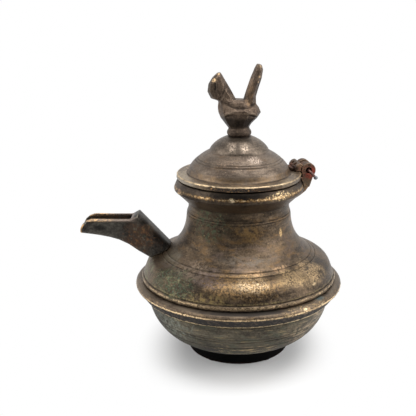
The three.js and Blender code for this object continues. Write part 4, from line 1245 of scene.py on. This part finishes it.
def spout_channel():
    """What is cut out of the open channel in front of the hood."""
    half = SPOUT_HALF - SPOUT_WALL
    rear = SPOUT_STATIONS[SPOUT_HOOD + 1][0]
    above = rear[1] + SPOUT_HALF
    floors = [(bottom[0], bottom[1] + SPOUT_WALL) for _, bottom in SPOUT_STATIONS[SPOUT_HOOD + 1:]]
    floors[0] = (rear[0], floors[0][1])
    floors.append((SPOUT_STATIONS[-1][1][0] - SPOUT_WALL, floors[-1][1] - 0.6))
    return lofted("channel", [spout_section((x, above), (x, z), half, SPOUT_BEVEL / 2) for x, z in floors])


def plain_turned(name, profile, closed=False, sides=96):
    """A smooth turned cutter."""
    spots = [(math.cos(2 * math.pi * k / sides), math.sin(2 * math.pi * k / sides)) for k in range(sides)]
    points = profile.points
    vertices = [(r * MM * x, r * MM * y, z * MM) for r, z in points for x, y in spots]
    count = len(points)
    faces = []
    for s in range(count if closed else count - 1):
        for k in range(sides):
            a = s * sides + k
            b = s * sides + (k + 1) % sides
            c = (s + 1) % count * sides
            faces.append((a, b, c + (k + 1) % sides, c + k))
    piece = new_object(name, vertices, faces)
    face_outwards(piece, slivers=True)
    return piece


def collar_profile(margin=0.0):
    """The ring round the mouth, its outside pushed out by a margin."""

    def out(share):
        return NECK_RADIUS + share * COLLAR_WIDTH + margin

    foot = COLLAR_FOOT - COLLAR_DROP
    profile = Profile(NECK_RADIUS + GAP, foot).to((out(0.07), foot))
    profile.through([(out(0.45), COLLAR_FOOT + 2.4), (out(1), COLLAR_EDGE)])
    top = COLLAR_TOP + margin
    face = out(1) - COLLAR_LEAN
    profile.to((out(1), COLLAR_EDGE + COLLAR_BAND), (face, top - COLLAR_CHAMFER), (face - COLLAR_CHAMFER, top))
    return profile.to((NECK_RADIUS + GAP, top))


BIRD_BODY = [
    ((-6.6, 4.6), (5.8, 4.6), 5.7), ((-8.6, 7.2), (7.3, 7.2), 7.2), ((-11.2, 10.6), (10.8, 10.6), 8.9),
    ((-12.6, 14), (13, 14), 9.8), ((-12.9, 17), (11.7, 17), 8.8), ((-12.6, 20), (9.4, 20), 6.8),
    ((-10.4, 21.8), (7.4, 21.6), 4.4),
]
BIRD_HEAD = [
    ((-11.6, 17.4), (0.4, 18.4), 6.6), ((-12.8, 20.7), (-2.6, 22.9), 5.4), ((-17, 22), (-4.6, 26.7), 5.5),
    ((-19, 26), (-6.7, 30.2), 5.8), ((-18.4, 30.6), (-8.5, 33.2), 5.5), ((-16, 34.4), (-9.9, 35.6), 4.3),
    ((-13.4, 36.9), (-11.2, 37.5), 2.2),
]
BIRD_TAIL = [
    ((1.2, 18.6), (10.2, 18.6), 4.6), ((2.6, 22.9), (9.9, 23), 4.3), ((4.2, 28), (11.2, 27.7), 4.4),
    ((6.4, 34.4), (13.2, 34), 4.2), ((8.9, 40.4), (14, 39), 3.6), ((10.2, 42.6), (13.2, 41.8), 2.6),
]
BODY_SECTION = ((-1, 0), (-0.74, 0.66), (-0.2, 1), (0.36, 0.94), (0.84, 0.5), (1, 0))
HEAD_SECTION = ((-1, 0), (-0.72, 0.72), (-0.05, 1), (0.62, 0.8), (1, 0))
TAIL_SECTION = ((-1, 0), (-0.55, 0.8), (0.05, 1), (0.5, 0.9), (1, 0))


def bird_part(name, stations, section):
    """A part of the bird through stations of (front, back, half width), each with a section (along, across)."""
    corners = (*section, *((along, -across) for along, across in section[-2:0:-1]))
    sections = []
    for (x0, z0), (x1, z1), half in stations:
        sections.append(
            [
                (
                    (x0 + x1) / 2 + (x1 - x0) / 2 * along,
                    half * across,
                    KNOB_FOOT + (z0 + z1) / 2 + (z1 - z0) / 2 * along,
                )
                for along, across in corners
            ]
        )
    return lofted(name, sections)


def bird_carving(points):
    """Depth and darkness of the hollows and ridges on the bird: wings, neck and cheek."""
    x, y, z = points[:, 0], points[:, 1], points[:, 2] - KNOB_FOOT
    side = np.clip(np.abs(y) / 2.5 - 0.4, 0, 1)
    depth = np.zeros(len(points))
    dark = np.zeros(len(points))

    def window(value, low, high, soft=1.4):
        return np.clip((value - low) / soft + 0.5, 0, 1) * np.clip((high - value) / soft + 0.5, 0, 1)

    def hollow(distance, width, cut, within, black=0.5):
        share = np.exp(-((distance / width) ** 2)) * within
        depth[:] = depth + cut * share
        dark[:] = np.maximum(dark, black * share)

    # Along the wing: a groove, a raised feather and a finer groove, with a raised line on the back
    wing = window(x, -8.6, 11.5) * side
    hollow(z - 17.2 - 0.03 * (x - 1) ** 2, 0.9, 0.6, wing, 0.55)
    hollow(z - 15.6 + 0.03 * (x - 0.7) ** 2, 0.9, -0.45, wing, 0)
    hollow(z - 13.5 + 0.02 * (x - 0.7) ** 2, 0.8, 0.3, wing, 0.45)
    hollow(z - 20.2 - 0.02 * (x + 1) ** 2, 0.7, -0.3, window(x, -7, 6) * side, 0)
    # Across the neck: a groove, one on the cheek before it and a raised line behind it
    jaw = (z - 21.4) / 7.5
    hollow((x + 11.7 - 3.8 * jaw) * 0.9, 0.75, 0.45, window(jaw, -0.05, 1.1, 0.2) * side, 0.5)
    hollow(x + 14.1, 0.55, 0.4, window(z, 27.6, 32.2) * side, 0.7)
    hollow((x + 10.2 - 3.8 * jaw) * 0.9, 0.5, -0.2, window(jaw, 0, 1.2, 0.2) * side, 0)
    # Up the tail
    lean = (z - 23) * 0.36
    hollow(x - 8.9 - lean, 0.5, 0.35, window(z, 24, 40) * side, 0.55)
    return depth, dark


def arc(centre, radius, start, end, steps):
    """Points round part of a circle, from one angle to another."""
    return [
        (
            centre[0] + radius * math.cos(start + (end - start) * k / steps),
            centre[1] + radius * math.sin(start + (end - start) * k / steps),
        )
        for k in range(steps + 1)
    ]


def hinge_bar(name, radius, half):
    """A round bar along the hinge's line, to both sides of its middle."""
    return bar(name, radius, (HINGE_X, -half, HINGE_Z), (HINGE_X, half, HINGE_Z))


def box(name, low, high):
    """A block between two corners."""
    (x0, y0, z0), (x1, y1, z1) = low, high
    return lofted(name, [[(x0, y, z0), (x1, y, z0), (x1, y, z1), (x0, y, z1)] for y in (y0, y1)])


class PieceOperator:
    """What the operators of all pieces share."""

    bl_options = {"REGISTER", "UNDO"}


class WATERPOT_OT_foot(PieceOperator, bpy.types.Operator):
    """Turn the low foot, painted nearly black as the shadow under the bowl"""

    bl_idname = "water_pot.foot"
    bl_label = "Foot"

    def execute(self, context):
        rim = FOOT_RADIUS - FOOT_CHAMFER
        inside = FOOT_RADIUS - FOOT_WALL
        profile = Profile(0, 0).to((rim, 0), (FOOT_RADIUS, FOOT_CHAMFER))
        profile.through([(FOOT_RADIUS - FOOT_HOLLOW, FOOT_TOP / 2), (rim, FOOT_TOP)])
        profile.to((inside, FOOT_TOP), (inside, FOOT_FLOOR), (0, FOOT_FLOOR))
        piece = turned("foot_turned", profile, foot_finish(), closed=False, seed=1, grain=0.4)
        points = coordinates(piece.data)
        points[:, 2] = np.maximum(points[:, 2], 0)
        move_points(piece.data, points)
        place(piece, "pot_body", "dark_patina", "foot")
        return {"FINISHED"}


class WATERPOT_OT_lower_bowl(PieceOperator, bpy.types.Operator):
    """Turn the lower shell of the belly"""

    bl_idname = "water_pot.lower_bowl"
    bl_label = "Lower bowl"

    def execute(self, context):
        ceiling = BOWL_FLOOR + WALL
        profile = Profile(0, BOWL_FLOOR).to((BOWL_FLOOR_RADIUS, BOWL_FLOOR))
        profile.bend(BOWL_EDGE_RADIUS, BOWL_EDGE, BOWL_CURVE)
        profile.to((SEAM_RADIUS, BOWL_EDGE + BOWL_STEP), (SEAM_RADIUS, SEAM), (SEAM_RADIUS - WALL, SEAM))
        profile.to((SEAM_RADIUS - WALL, BOWL_EDGE))
        profile.bend(BOWL_FLOOR_RADIUS - WALL / 2, ceiling, backwards(BOWL_CURVE)).to((0, ceiling))
        lines = [(54.2, 27.6, 0.26, 0.5), (53.4, 25.9, 0.24, 0.4), (50.8, 21.2, 0.22, 0.3)]
        piece = turned("lower_bowl_turned", profile, bowl_finish(), closed=False, lines=lines, seed=2)
        place(piece, "pot_body", "lower_patina", "lower_bowl")
        return {"FINISHED"}


class WATERPOT_OT_belly_band(PieceOperator, bpy.types.Operator):
    """Turn the ring over the seam, with its cove and its worn edge"""

    bl_idname = "water_pot.belly_band"
    bl_label = "Belly band"

    def execute(self, context):
        def out(share):
            return BAND_INSIDE + share * BAND_WIDTH

        def up(share):
            return BAND_FOOT + share * (BAND_TOP - BAND_FOOT)

        foot = BAND_FOOT - BAND_LIP
        profile = Profile(BAND_INSIDE, foot).to((out(0.4), foot), (out(0.84), up(0.5)), (out(0.95), up(0.56)))
        profile.through([(out(1.07), up(0.78)), (out(0.71), up(0.98))])
        profile.to((out(0.46), BAND_TOP), (BAND_INSIDE, BAND_TOP))
        piece = turned("belly_band_turned", profile, band_finish(), seed=3, nicks=0.6)
        place(piece, "pot_body", "worn_brass", "belly_band")
        return {"FINISHED"}


class WATERPOT_OT_upper_body(PieceOperator, bpy.types.Operator):
    """Turn the upper shell with its incised lines, and open it to the spout"""

    bl_idname = "water_pot.upper_body"
    bl_label = "Shoulder and neck"

    def execute(self, context):
        profile = Profile(SEAM_RADIUS - WALL, SEAM + GAP).to((SEAM_RADIUS, SEAM + GAP), (SEAM_RADIUS, BEAD_FOOT))
        outside_of_upper_body(profile)
        profile.to((MOUTH_RADIUS, MOUTH), (MOUTH_RADIUS, NECK_FOOT), (SWEEP_TOP_RADIUS - WALL, SWEEP_TOP))
        profile.bend(SHOULDER_RADIUS - WALL / 2, SHOULDER_TURN - WALL, backwards(SWEEP_CURVE))
        profile.bend(BEAD_RADIUS - WALL, BEAD_TOP + 0.5, backwards(SHOULDER_CURVE))
        profile.to((SEAM_RADIUS - WALL, BEAD_FOOT + WALL / 2))
        lines = [
            (48, 63.4, 0.3, 0.85), (45.3, 65.1, 0.3, 0.7), (32.1, 89.0, 0.26, 0.6), (31.6, 90.5, 0.24, 0.5),
            (60.1, 50.9, 0.34, 0.8),
        ]
        piece = turned("upper_body_turned", profile, body_finish(), lines=lines, seed=4)
        cut_away(piece, spout_bore())
        place(piece, "pot_body", "body_patina", "upper_body")
        return {"FINISHED"}


class WATERPOT_OT_mouth_collar(PieceOperator, bpy.types.Operator):
    """Turn the ring round the mouth"""

    bl_idname = "water_pot.mouth_collar"
    bl_label = "Mouth collar"

    def execute(self, context):
        piece = turned("mouth_collar_turned", collar_profile(), collar_finish(), seed=5, nicks=0.8)
        place(piece, "pot_body", "body_patina", "mouth_collar")
        return {"FINISHED"}


class WATERPOT_OT_spout(PieceOperator, bpy.types.Operator):
    """Cast the faceted spout with its hood and open beak"""

    bl_idname = "water_pot.spout"
    bl_label = "Spout"

    def execute(self, context):
        crown = (SPOUT_CROWN, SPOUT_CROWN_ACROSS)
        sections = [
            spout_section(top, bottom, SPOUT_HALF, SPOUT_BEVEL, *(crown if k <= SPOUT_HOOD else ()))
            for k, (top, bottom) in enumerate(SPOUT_STATIONS)
        ]
        piece = lofted("spout_cast", sections)
        profile = Profile(0, SEAM).to((BEAD_RADIUS, SEAM))
        outside_of_upper_body(profile, GAP).to((0, MOUTH))
        cut_away(piece, spout_bore(), spout_channel(), plain_turned("shoulder", profile, sides=192))
        weathered(piece, voxel=0.32, rounds=6)
        finished(piece, spout_finish())
        place(piece, "pot_body", "spout_patina", "spout")
        return {"FINISHED"}


class WATERPOT_OT_lid(PieceOperator, bpy.types.Operator):
    """Turn the lid and notch it for the hinge"""

    bl_idname = "water_pot.lid"
    bl_label = "Lid"

    def execute(self, context):
        profile = Profile(TENON_HOLE, CEILING).to((CEILING_FLAT, CEILING))
        profile.bend(LID_INSIDE, FLANGE_TOP, CEILING_CURVE)
        rim = FLANGE_RADIUS - FLANGE_CHAMFER
        profile.to((LID_INSIDE, FLANGE_FOOT), (rim, FLANGE_FOOT), (FLANGE_RADIUS, FLANGE_FOOT + FLANGE_CHAMFER))
        profile.to((FLANGE_RADIUS, FLANGE_TOP - FLANGE_CHAMFER), (rim, FLANGE_TOP))
        profile.to((DOME_RADIUS + DOME_STEP, FLANGE_TOP), (DOME_RADIUS, DOME_FOOT))
        profile.bend(SEAT_RADIUS, DOME_TOP, DOME_CURVE).to((TENON_HOLE, DOME_TOP))
        lines = [(26.4, 121.6, 0.3, 0.8), (25.2, 123.0, 0.26, 0.6)]
        piece = turned("lid_turned", profile, lid_finish(), lines=lines, seed=6, nicks=0.7)
        notch = hinge_bar("notch", EAR_RADIUS + EAR_FULLNESS + NOTCH_ROOM, EAR_OUTER + 2 * NOTCH_ROOM)
        below, above = FLANGE_FOOT - 1, DOME_FOOT + 3
        sink = Profile(0, below).to((RIVET_SINK, below), (RIVET_HOLE, FLANGE_FOOT + RIVET_HEAD_HEIGHT))
        sink.to((RIVET_HOLE, above), (0, above))
        holes = [plain_turned("hole", sink, sides=32) for _ in range(2)]
        for hole, side in zip(holes, (-1, 1)):
            hole.data.transform(Matrix.Translation((RIVET_X * MM, side * RIVET_SPREAD * MM, 0)))
        cut_away(piece, *(hinge_turned(cutter) for cutter in (notch, *holes)))
        place(piece, "lid_body", "lid_patina", "lid")
        return {"FINISHED"}


class WATERPOT_OT_finial_seat(PieceOperator, bpy.types.Operator):
    """Turn the boss that the knob stands on"""

    bl_idname = "water_pot.finial_seat"
    bl_label = "Knob seat"

    def execute(self, context):
        width = SEAT_RADIUS - SEAT_TOP_RADIUS
        profile = Profile(TENON_HOLE, SEAT_FOOT)
        profile.to(*((SEAT_RADIUS + out, SEAT_FOOT + up) for out, up in SEAT_EDGE))
        profile.through([(SEAT_RADIUS - SEAT_DRAW * width, SEAT_TOP - SEAT_DROP), (SEAT_TOP_RADIUS, SEAT_TOP)])
        profile.to((TENON_HOLE, SEAT_TOP))
        piece = turned("finial_seat_turned", profile, seat_finish(), seed=7, nicks=0.3, turns=192)
        place(piece, "lid_body", "lid_patina", "finial_seat")
        return {"FINISHED"}


class WATERPOT_OT_bird(PieceOperator, bpy.types.Operator):
    """Cast the bird knob on its collar, with its tenon"""

    bl_idname = "water_pot.bird"
    bl_label = "Bird knob"

    def execute(self, context):
        profile = Profile(0, TENON_END).to((TENON_HEAD - TENON_BEVEL, TENON_END))
        head = TENON_END + 2 * TENON_BEVEL
        profile.to((TENON_HEAD, TENON_END + TENON_BEVEL), (TENON_HEAD, head), (TENON_RADIUS, head))
        profile.to((TENON_RADIUS, KNOB_FOOT), (KNOB_RADIUS, KNOB_FOOT))
        profile.through([(radius, KNOB_FOOT + height) for radius, height in KNOB_BULGE])
        profile.to((KNOB_WAIST, KNOB_FOOT + KNOB_STEP), (KNOB_WAIST, KNOB_FOOT + KNOB_TOP))
        profile.to((0, KNOB_FOOT + KNOB_TOP))
        piece = plain_turned("bird_cast", profile)
        joined(
            piece, bird_part("body", BIRD_BODY, BODY_SECTION), bird_part("head", BIRD_HEAD, HEAD_SECTION),
            bird_part("tail", BIRD_TAIL, TAIL_SECTION),
        )
        weathered(piece, voxel=0.26, rounds=7, carve=bird_carving)
        finished(piece, bird_finish())
        place(piece, "lid_body", "bird_patina", "finial_bird")
        return {"FINISHED"}


class WATERPOT_OT_washer(PieceOperator, bpy.types.Operator):
    """Turn the washer under the tenon's beaten end"""

    bl_idname = "water_pot.washer"
    bl_label = "Washer"

    def execute(self, context):
        profile = Profile(TENON_HOLE, WASHER_TOP).to((TENON_HOLE, WASHER_FOOT))
        profile.to((WASHER_RADIUS, WASHER_FOOT), (WASHER_RADIUS, WASHER_TOP))
        piece = turned("washer_turned", profile, bpy.data.materials["belly band patina"], seed=8, turns=96)
        place(piece, "lid_body", "worn_brass", "finial_washer")
        return {"FINISHED"}


class WATERPOT_OT_bracket(PieceOperator, bpy.types.Operator):
    """Cast the bracket with its two ears"""

    bl_idname = "water_pot.bracket"
    bl_label = "Hinge bracket"

    def execute(self, context):
        inner = FLANGE_RADIUS + NOTCH_ROOM
        radius = EAR_RADIUS + EAR_FULLNESS
        reach = math.acos((inner - HINGE_X) / radius)
        outline = BRACKET_SADDLE + arc((HINGE_X, HINGE_Z), radius, -math.pi / 6, 2 * math.pi - reach, 40)
        outline.append((inner, MOUTH))
        piece = slab("hinge_bracket_cast", outline, EAR_OUTER)
        root = []
        for half, outer, height in BRACKET_ROOT:
            front, rear = half * 0.8, half
            corners = ((BRACKET_ROOT_INNER, -rear), (outer, -front), (outer, front), (BRACKET_ROOT_INNER, rear))
            root.append([(x, y, height) for x, y in corners])
        joined(piece, lofted("root", root))
        bore = hinge_bar("bore", BORE_RADIUS + BORE_WEAR, BORE_HALF)
        collar = plain_turned("collar", collar_profile(GAP), closed=True, sides=192)
        cut_away(piece, box("slot", *BRACKET_SLOT), bore, collar)
        weathered(piece, voxel=0.22, rounds=4)
        hinge_turned(piece)
        finished(piece, iron_finish())
        place(piece, "pot_body", "rusty_iron", "hinge_bracket")
        return {"FINISHED"}


class WATERPOT_OT_leaf(PieceOperator, bpy.types.Operator):
    """Cut the leaf with its knuckle"""

    bl_idname = "water_pot.leaf"
    bl_label = "Hinge leaf"

    def execute(self, context):
        piece = box("hinge_leaf_cut", (LEAF_INNER, -LEAF_HALF, LEAF_FOOT), (LEAF_OUTER, LEAF_HALF, LEAF_TOP))
        neck = box("neck", (RIVET_X, -KNUCKLE_HALF, LEAF_FOOT), (HINGE_X, KNUCKLE_HALF, LEAF_TOP))
        knuckle = hinge_bar("knuckle", KNUCKLE_RADIUS, KNUCKLE_HALF)
        edge = [
            (HINGE_X + reach * math.cos(math.radians(turn)), HINGE_Z + reach * math.sin(math.radians(turn)))
            for reach, turn in ARM_EDGE
        ]
        arm = arc((HINGE_X, HINGE_Z), ARM_INSIDE, ARM_FOOT, ARM_TOP, 12) + edge
        joined(piece, neck, knuckle, slab("arm", arm, EAR_OUTER - 0.2))
        holes = [
            bar("hole", RIVET_HOLE, *((RIVET_X, side * RIVET_SPREAD, height) for height in RIVET_HOLE_SPAN))
            for side in (-1, 1)
        ]
        cut_away(piece, hinge_bar("bore", BORE_RADIUS, BORE_HALF), *holes)
        weathered(piece, voxel=0.22, rounds=4)
        hinge_turned(piece)
        finished(piece, bpy.data.materials["rusty hinge"])
        place(piece, "lid_body", "rusty_iron", "hinge_leaf")
        return {"FINISHED"}


class WATERPOT_OT_rivets(PieceOperator, bpy.types.Operator):
    """Set the leaf's two rivets"""

    bl_idname = "water_pot.rivets"
    bl_label = "Leaf rivets"

    def execute(self, context):
        top = LEAF_TOP + GAP
        profile = Profile(0, FLANGE_FOOT).to((RIVET_HEAD, FLANGE_FOOT))
        profile.to((RIVET_RADIUS, FLANGE_FOOT + RIVET_HEAD_HEIGHT), (RIVET_RADIUS, top), (RIVET_HEAD, top))
        profile.through([(RIVET_HEAD, top + RIVET_HEAD_HEIGHT), (0, top + RIVET_HEAD_HEIGHT)])
        rivet = plain_turned("rivet", profile, sides=40)
        spots = [(RIVET_X * MM, side * RIVET_SPREAD * MM, 0) for side in (-1, 1)]
        piece = new_object("leaf_rivets", spots)
        hinge_turned(piece)
        grown(piece, rivet_tree(), Rivet=rivet, Material=bpy.data.materials["rusty hinge"])
        discard(rivet)
        piece.data.polygons.foreach_set("use_smooth", [True] * len(piece.data.polygons))
        place(piece, "lid_body", "worn_brass", "leaf_rivet_1", "leaf_rivet_2")
        return {"FINISHED"}


class WATERPOT_OT_pin(PieceOperator, bpy.types.Operator):
    """Draw the loose wire pin with its bent tail"""

    bl_idname = "water_pot.pin"
    bl_label = "Hinge pin"

    def execute(self, context):
        def out(reach, y):
            return Vector(
                (HINGE_X + math.cos(PIN_TAIL_ANGLE) * reach, y, HINGE_Z + math.sin(PIN_TAIL_ANGLE) * reach)
            )

        head = EAR_OUTER + GAP
        front = -EAR_OUTER - GAP - PIN_STAND[0] - PIN_STAND[1]
        tail = out(PIN_TAIL, front)
        start, end = out(0, front + PIN_BEND), out(PIN_KNEE_END, front)
        knee = out(PIN_KNEE[0], front + PIN_KNEE[1])
        path = [out(0, head + PIN_HEAD_THICKNESS / 2), start]
        for k in range(1, PIN_BEND_STEPS + 1):
            t = k / PIN_BEND_STEPS
            path.append(
                start * (1 - t) ** 3 + knee * 3 * t * (1 - t) ** 2
                + knee.lerp(end, PIN_KNEE_PULL) * 3 * t * t * (1 - t) + end * t**3
            )
        path.append(tail)
        piece = new_object(
            "hinge_pin_drawn", [point * MM for point in path], edges=[(k, k + 1) for k in range(len(path) - 1)]
        )
        metal = wire_finish()
        grown(piece, wire_tree(), Radius=PIN_RADIUS * MM, Unevenness=PIN_UNEVENNESS * MM, Material=metal)
        face_outwards(piece)
        ball = new_object("ball", [])
        shell = bmesh.new()
        bmesh.ops.create_icosphere(shell, subdivisions=3, radius=PIN_BLOB * MM)
        bmesh.ops.scale(shell, verts=shell.verts, vec=PIN_BLOB_SHAPE)
        bmesh.ops.translate(shell, verts=shell.verts, vec=tail * MM)
        shell.to_mesh(ball.data)
        shell.free()
        cap = bar("cap", PIN_HEAD, *((HINGE_X, head + y, HINGE_Z) for y in (0, PIN_HEAD_THICKNESS)))
        joined(piece, ball, cap)
        weathered(piece, voxel=0.16, rounds=3)
        hinge_turned(piece)
        finished(piece, metal)
        place(piece, "pin_body", "wire", "hinge_pin")
        return {"FINISHED"}


class WATERPOT_OT_stage(PieceOperator, bpy.types.Operator):
    """Set up the floor, the lights and the camera"""

    bl_idname = "water_pot.stage"
    bl_label = "Stage"

    def execute(self, context):
        scene = context.scene
        scene.view_settings.view_transform = "Standard"
        make_floor()
        light_world(scene)
        for name, place_at, size, power in (
            ("softbox above", (0.2, -0.1, 1.15), 0.8, 8.0),
            ("softbox left", (-1.05, -0.35, 0.6), 0.6, 4.0),
            ("softbox right", (1.0, -0.3, 0.6), 0.6, 5.5),
        ):
            lamp = bpy.data.lights.new(name, "AREA")
            lamp.size = size
            lamp.energy = power
            rig = bpy.data.objects.new(name, lamp)
            scene.collection.objects.link(rig)
            rig.location = place_at
            aim = Vector((0, 0, LIGHTS_AIM)) - rig.location
            rig.rotation_euler = aim.to_track_quat("-Z", "Y").to_euler()
        lens = bpy.data.cameras.new("camera")
        lens.sensor_width = SENSOR
        lens.lens = FOCAL_LENGTH * SENSOR / PICTURE_WIDTH
        lens.shift_x = (PICTURE_WIDTH / 2 - POT_AXIS) / PICTURE_WIDTH
        camera = bpy.data.objects.new("camera", lens)
        scene.collection.objects.link(camera)
        camera.location = (0, -CAMERA_DISTANCE, CAMERA_HEIGHT)
        tilt = Matrix.Rotation(math.pi / 2 - CAMERA_TILT, 4, "X") @ Matrix.Rotation(CAMERA_ROLL, 4, "Z")
        camera.rotation_euler = tilt.to_euler()
        scene.camera = camera
        return {"FINISHED"}


def studio_rays(graph):
    """1 for rays from the camera, and 1 for rays that are reflected or pass through."""
    paths = graph.add("ShaderNodeLightPath", out=None).outputs
    return paths["Is Camera Ray"], graph.most(paths["Is Glossy Ray"], paths["Is Transmission Ray"])


def make_floor():
    """A pale floor that turns white away from the pot and keeps the pot's shadow; in front, reflected rays see it
    painted dark, so that upright walls reflect the dark of the room."""
    corners = [(x * FLOOR_HALF, y * FLOOR_HALF, 0) for x, y in ((-1, -1), (1, -1), (1, 1), (-1, 1))]
    floor = new_object("floor", corners, [(0, 1, 2, 3)])
    floor.location.z = -FLOOR_DROP
    material = bpy.data.materials.new("pale floor")
    material.use_nodes = True
    graph = Graph(material.node_tree)
    graph.tree.nodes.clear()
    seen, mirrored = studio_rays(graph)
    where = graph.add("ShaderNodeTexCoord", out=None).outputs["Object"]
    ahead = graph.add("ShaderNodeSeparateXYZ", {0: where}, out=1)
    pool = graph.add("ShaderNodeVectorMath", {0: where, 1: (1.12, 0.72, 1)}, operation="MULTIPLY")
    far = graph.add("ShaderNodeVectorMath", {0: pool}, out=1, operation="LENGTH")
    # Painted dark reflection: dark in front, for reflected rays only.
    dark = graph.times(graph.less(1.0, graph.between(ahead, -0.42, -0.13)), graph.times(mirrored, 0.86))
    pale = graph.blend(dark, (0.9, 0.9, 0.9, 1), (0.05, 0.045, 0.04, 1))
    matt = graph.add("ShaderNodeBsdfDiffuse", {"Color": pale})
    glow = graph.add("ShaderNodeEmission", {"Color": (1, 1, 1, 1), "Strength": 1.0})
    open_floor = graph.sum(0.08, graph.times(graph.between(far, 0.036, 0.074), 0.92))
    white = graph.times(open_floor, seen)
    mixed = graph.add("ShaderNodeMixShader", {0: white, 1: matt, 2: glow})
    output = graph.add("ShaderNodeOutputMaterial", out=None)
    graph.plug(output.inputs["Surface"], mixed)
    floor.data.materials.append(material)
    return floor


def light_world(scene):
    """White to the camera, softer as light, and dark in front where the metal reflects the room."""
    world = bpy.data.worlds.new("studio")
    scene.world = world
    world.use_nodes = True
    graph = Graph(world.node_tree)
    graph.tree.nodes.clear()
    seen, mirrored = studio_rays(graph)
    way = graph.add("ShaderNodeTexCoord", out=None).outputs["Generated"]
    ahead = graph.add("ShaderNodeSeparateXYZ", {0: way}, out=1)
    up = graph.add("ShaderNodeSeparateXYZ", {0: way}, out=2)
    front = graph.less(1.0, graph.between(ahead, -0.75, -0.2))
    low = graph.less(1.0, graph.between(up, 0.35, 0.75))
    room = graph.span(graph.times(front, low), 1.0, 0.1)
    soft = graph.add("ShaderNodeBackground", {"Color": (1, 1, 1, 1), "Strength": 0.6})
    shine = graph.add("ShaderNodeBackground", {"Color": (1, 1, 1, 1), "Strength": room})
    white = graph.add("ShaderNodeBackground", {"Color": (1, 1, 1, 1), "Strength": 1.0})
    mixed = graph.add("ShaderNodeMixShader", {0: mirrored, 1: soft, 2: shine})
    mixed = graph.add("ShaderNodeMixShader", {0: seen, 1: mixed, 2: white})
    output = graph.add("ShaderNodeOutputWorld", out=None)
    graph.plug(output.inputs["Surface"], mixed)


PIECES = (
    WATERPOT_OT_foot, WATERPOT_OT_lower_bowl, WATERPOT_OT_belly_band, WATERPOT_OT_upper_body,
    WATERPOT_OT_mouth_collar, WATERPOT_OT_spout, WATERPOT_OT_lid, WATERPOT_OT_finial_seat, WATERPOT_OT_bird,
    WATERPOT_OT_washer, WATERPOT_OT_bracket, WATERPOT_OT_leaf, WATERPOT_OT_rivets, WATERPOT_OT_pin,
    WATERPOT_OT_stage,
)


class WATERPOT_PT_panel(bpy.types.Panel):
    """Lists the pot's sizes, colours and pieces"""

    bl_idname = "WATERPOT_PT_panel"
    bl_label = "Water Pot"
    bl_space_type = "VIEW_3D"
    bl_region_type = "UI"
    bl_category = "Water Pot"

    def draw(self, context):
        for group in (context.scene.pot_sizes, context.scene.pot_colours):
            column = self.layout.column(align=True)
            for name in type(group).__annotations__:
                column.prop(group, name)
        column = self.layout.column(align=True)
        for operator in PIECES:
            column.operator(operator.bl_idname)


CLASSES = (PotSizes, PotColours, *PIECES, WATERPOT_PT_panel)


def register():
    for item in CLASSES:
        bpy.utils.register_class(item)
    bpy.types.Scene.pot_sizes = bpy.props.PointerProperty(type=PotSizes)
    bpy.types.Scene.pot_colours = bpy.props.PointerProperty(type=PotColours)


def unregister():
    del bpy.types.Scene.pot_colours
    del bpy.types.Scene.pot_sizes
    for item in reversed(CLASSES):
        bpy.utils.unregister_class(item)


def main():
    register()
    turned_tree()
    for operator in PIECES:
        group, name = operator.bl_idname.split(".")
        getattr(getattr(bpy.ops, group), name)()


if __name__ == "__main__":
    main()
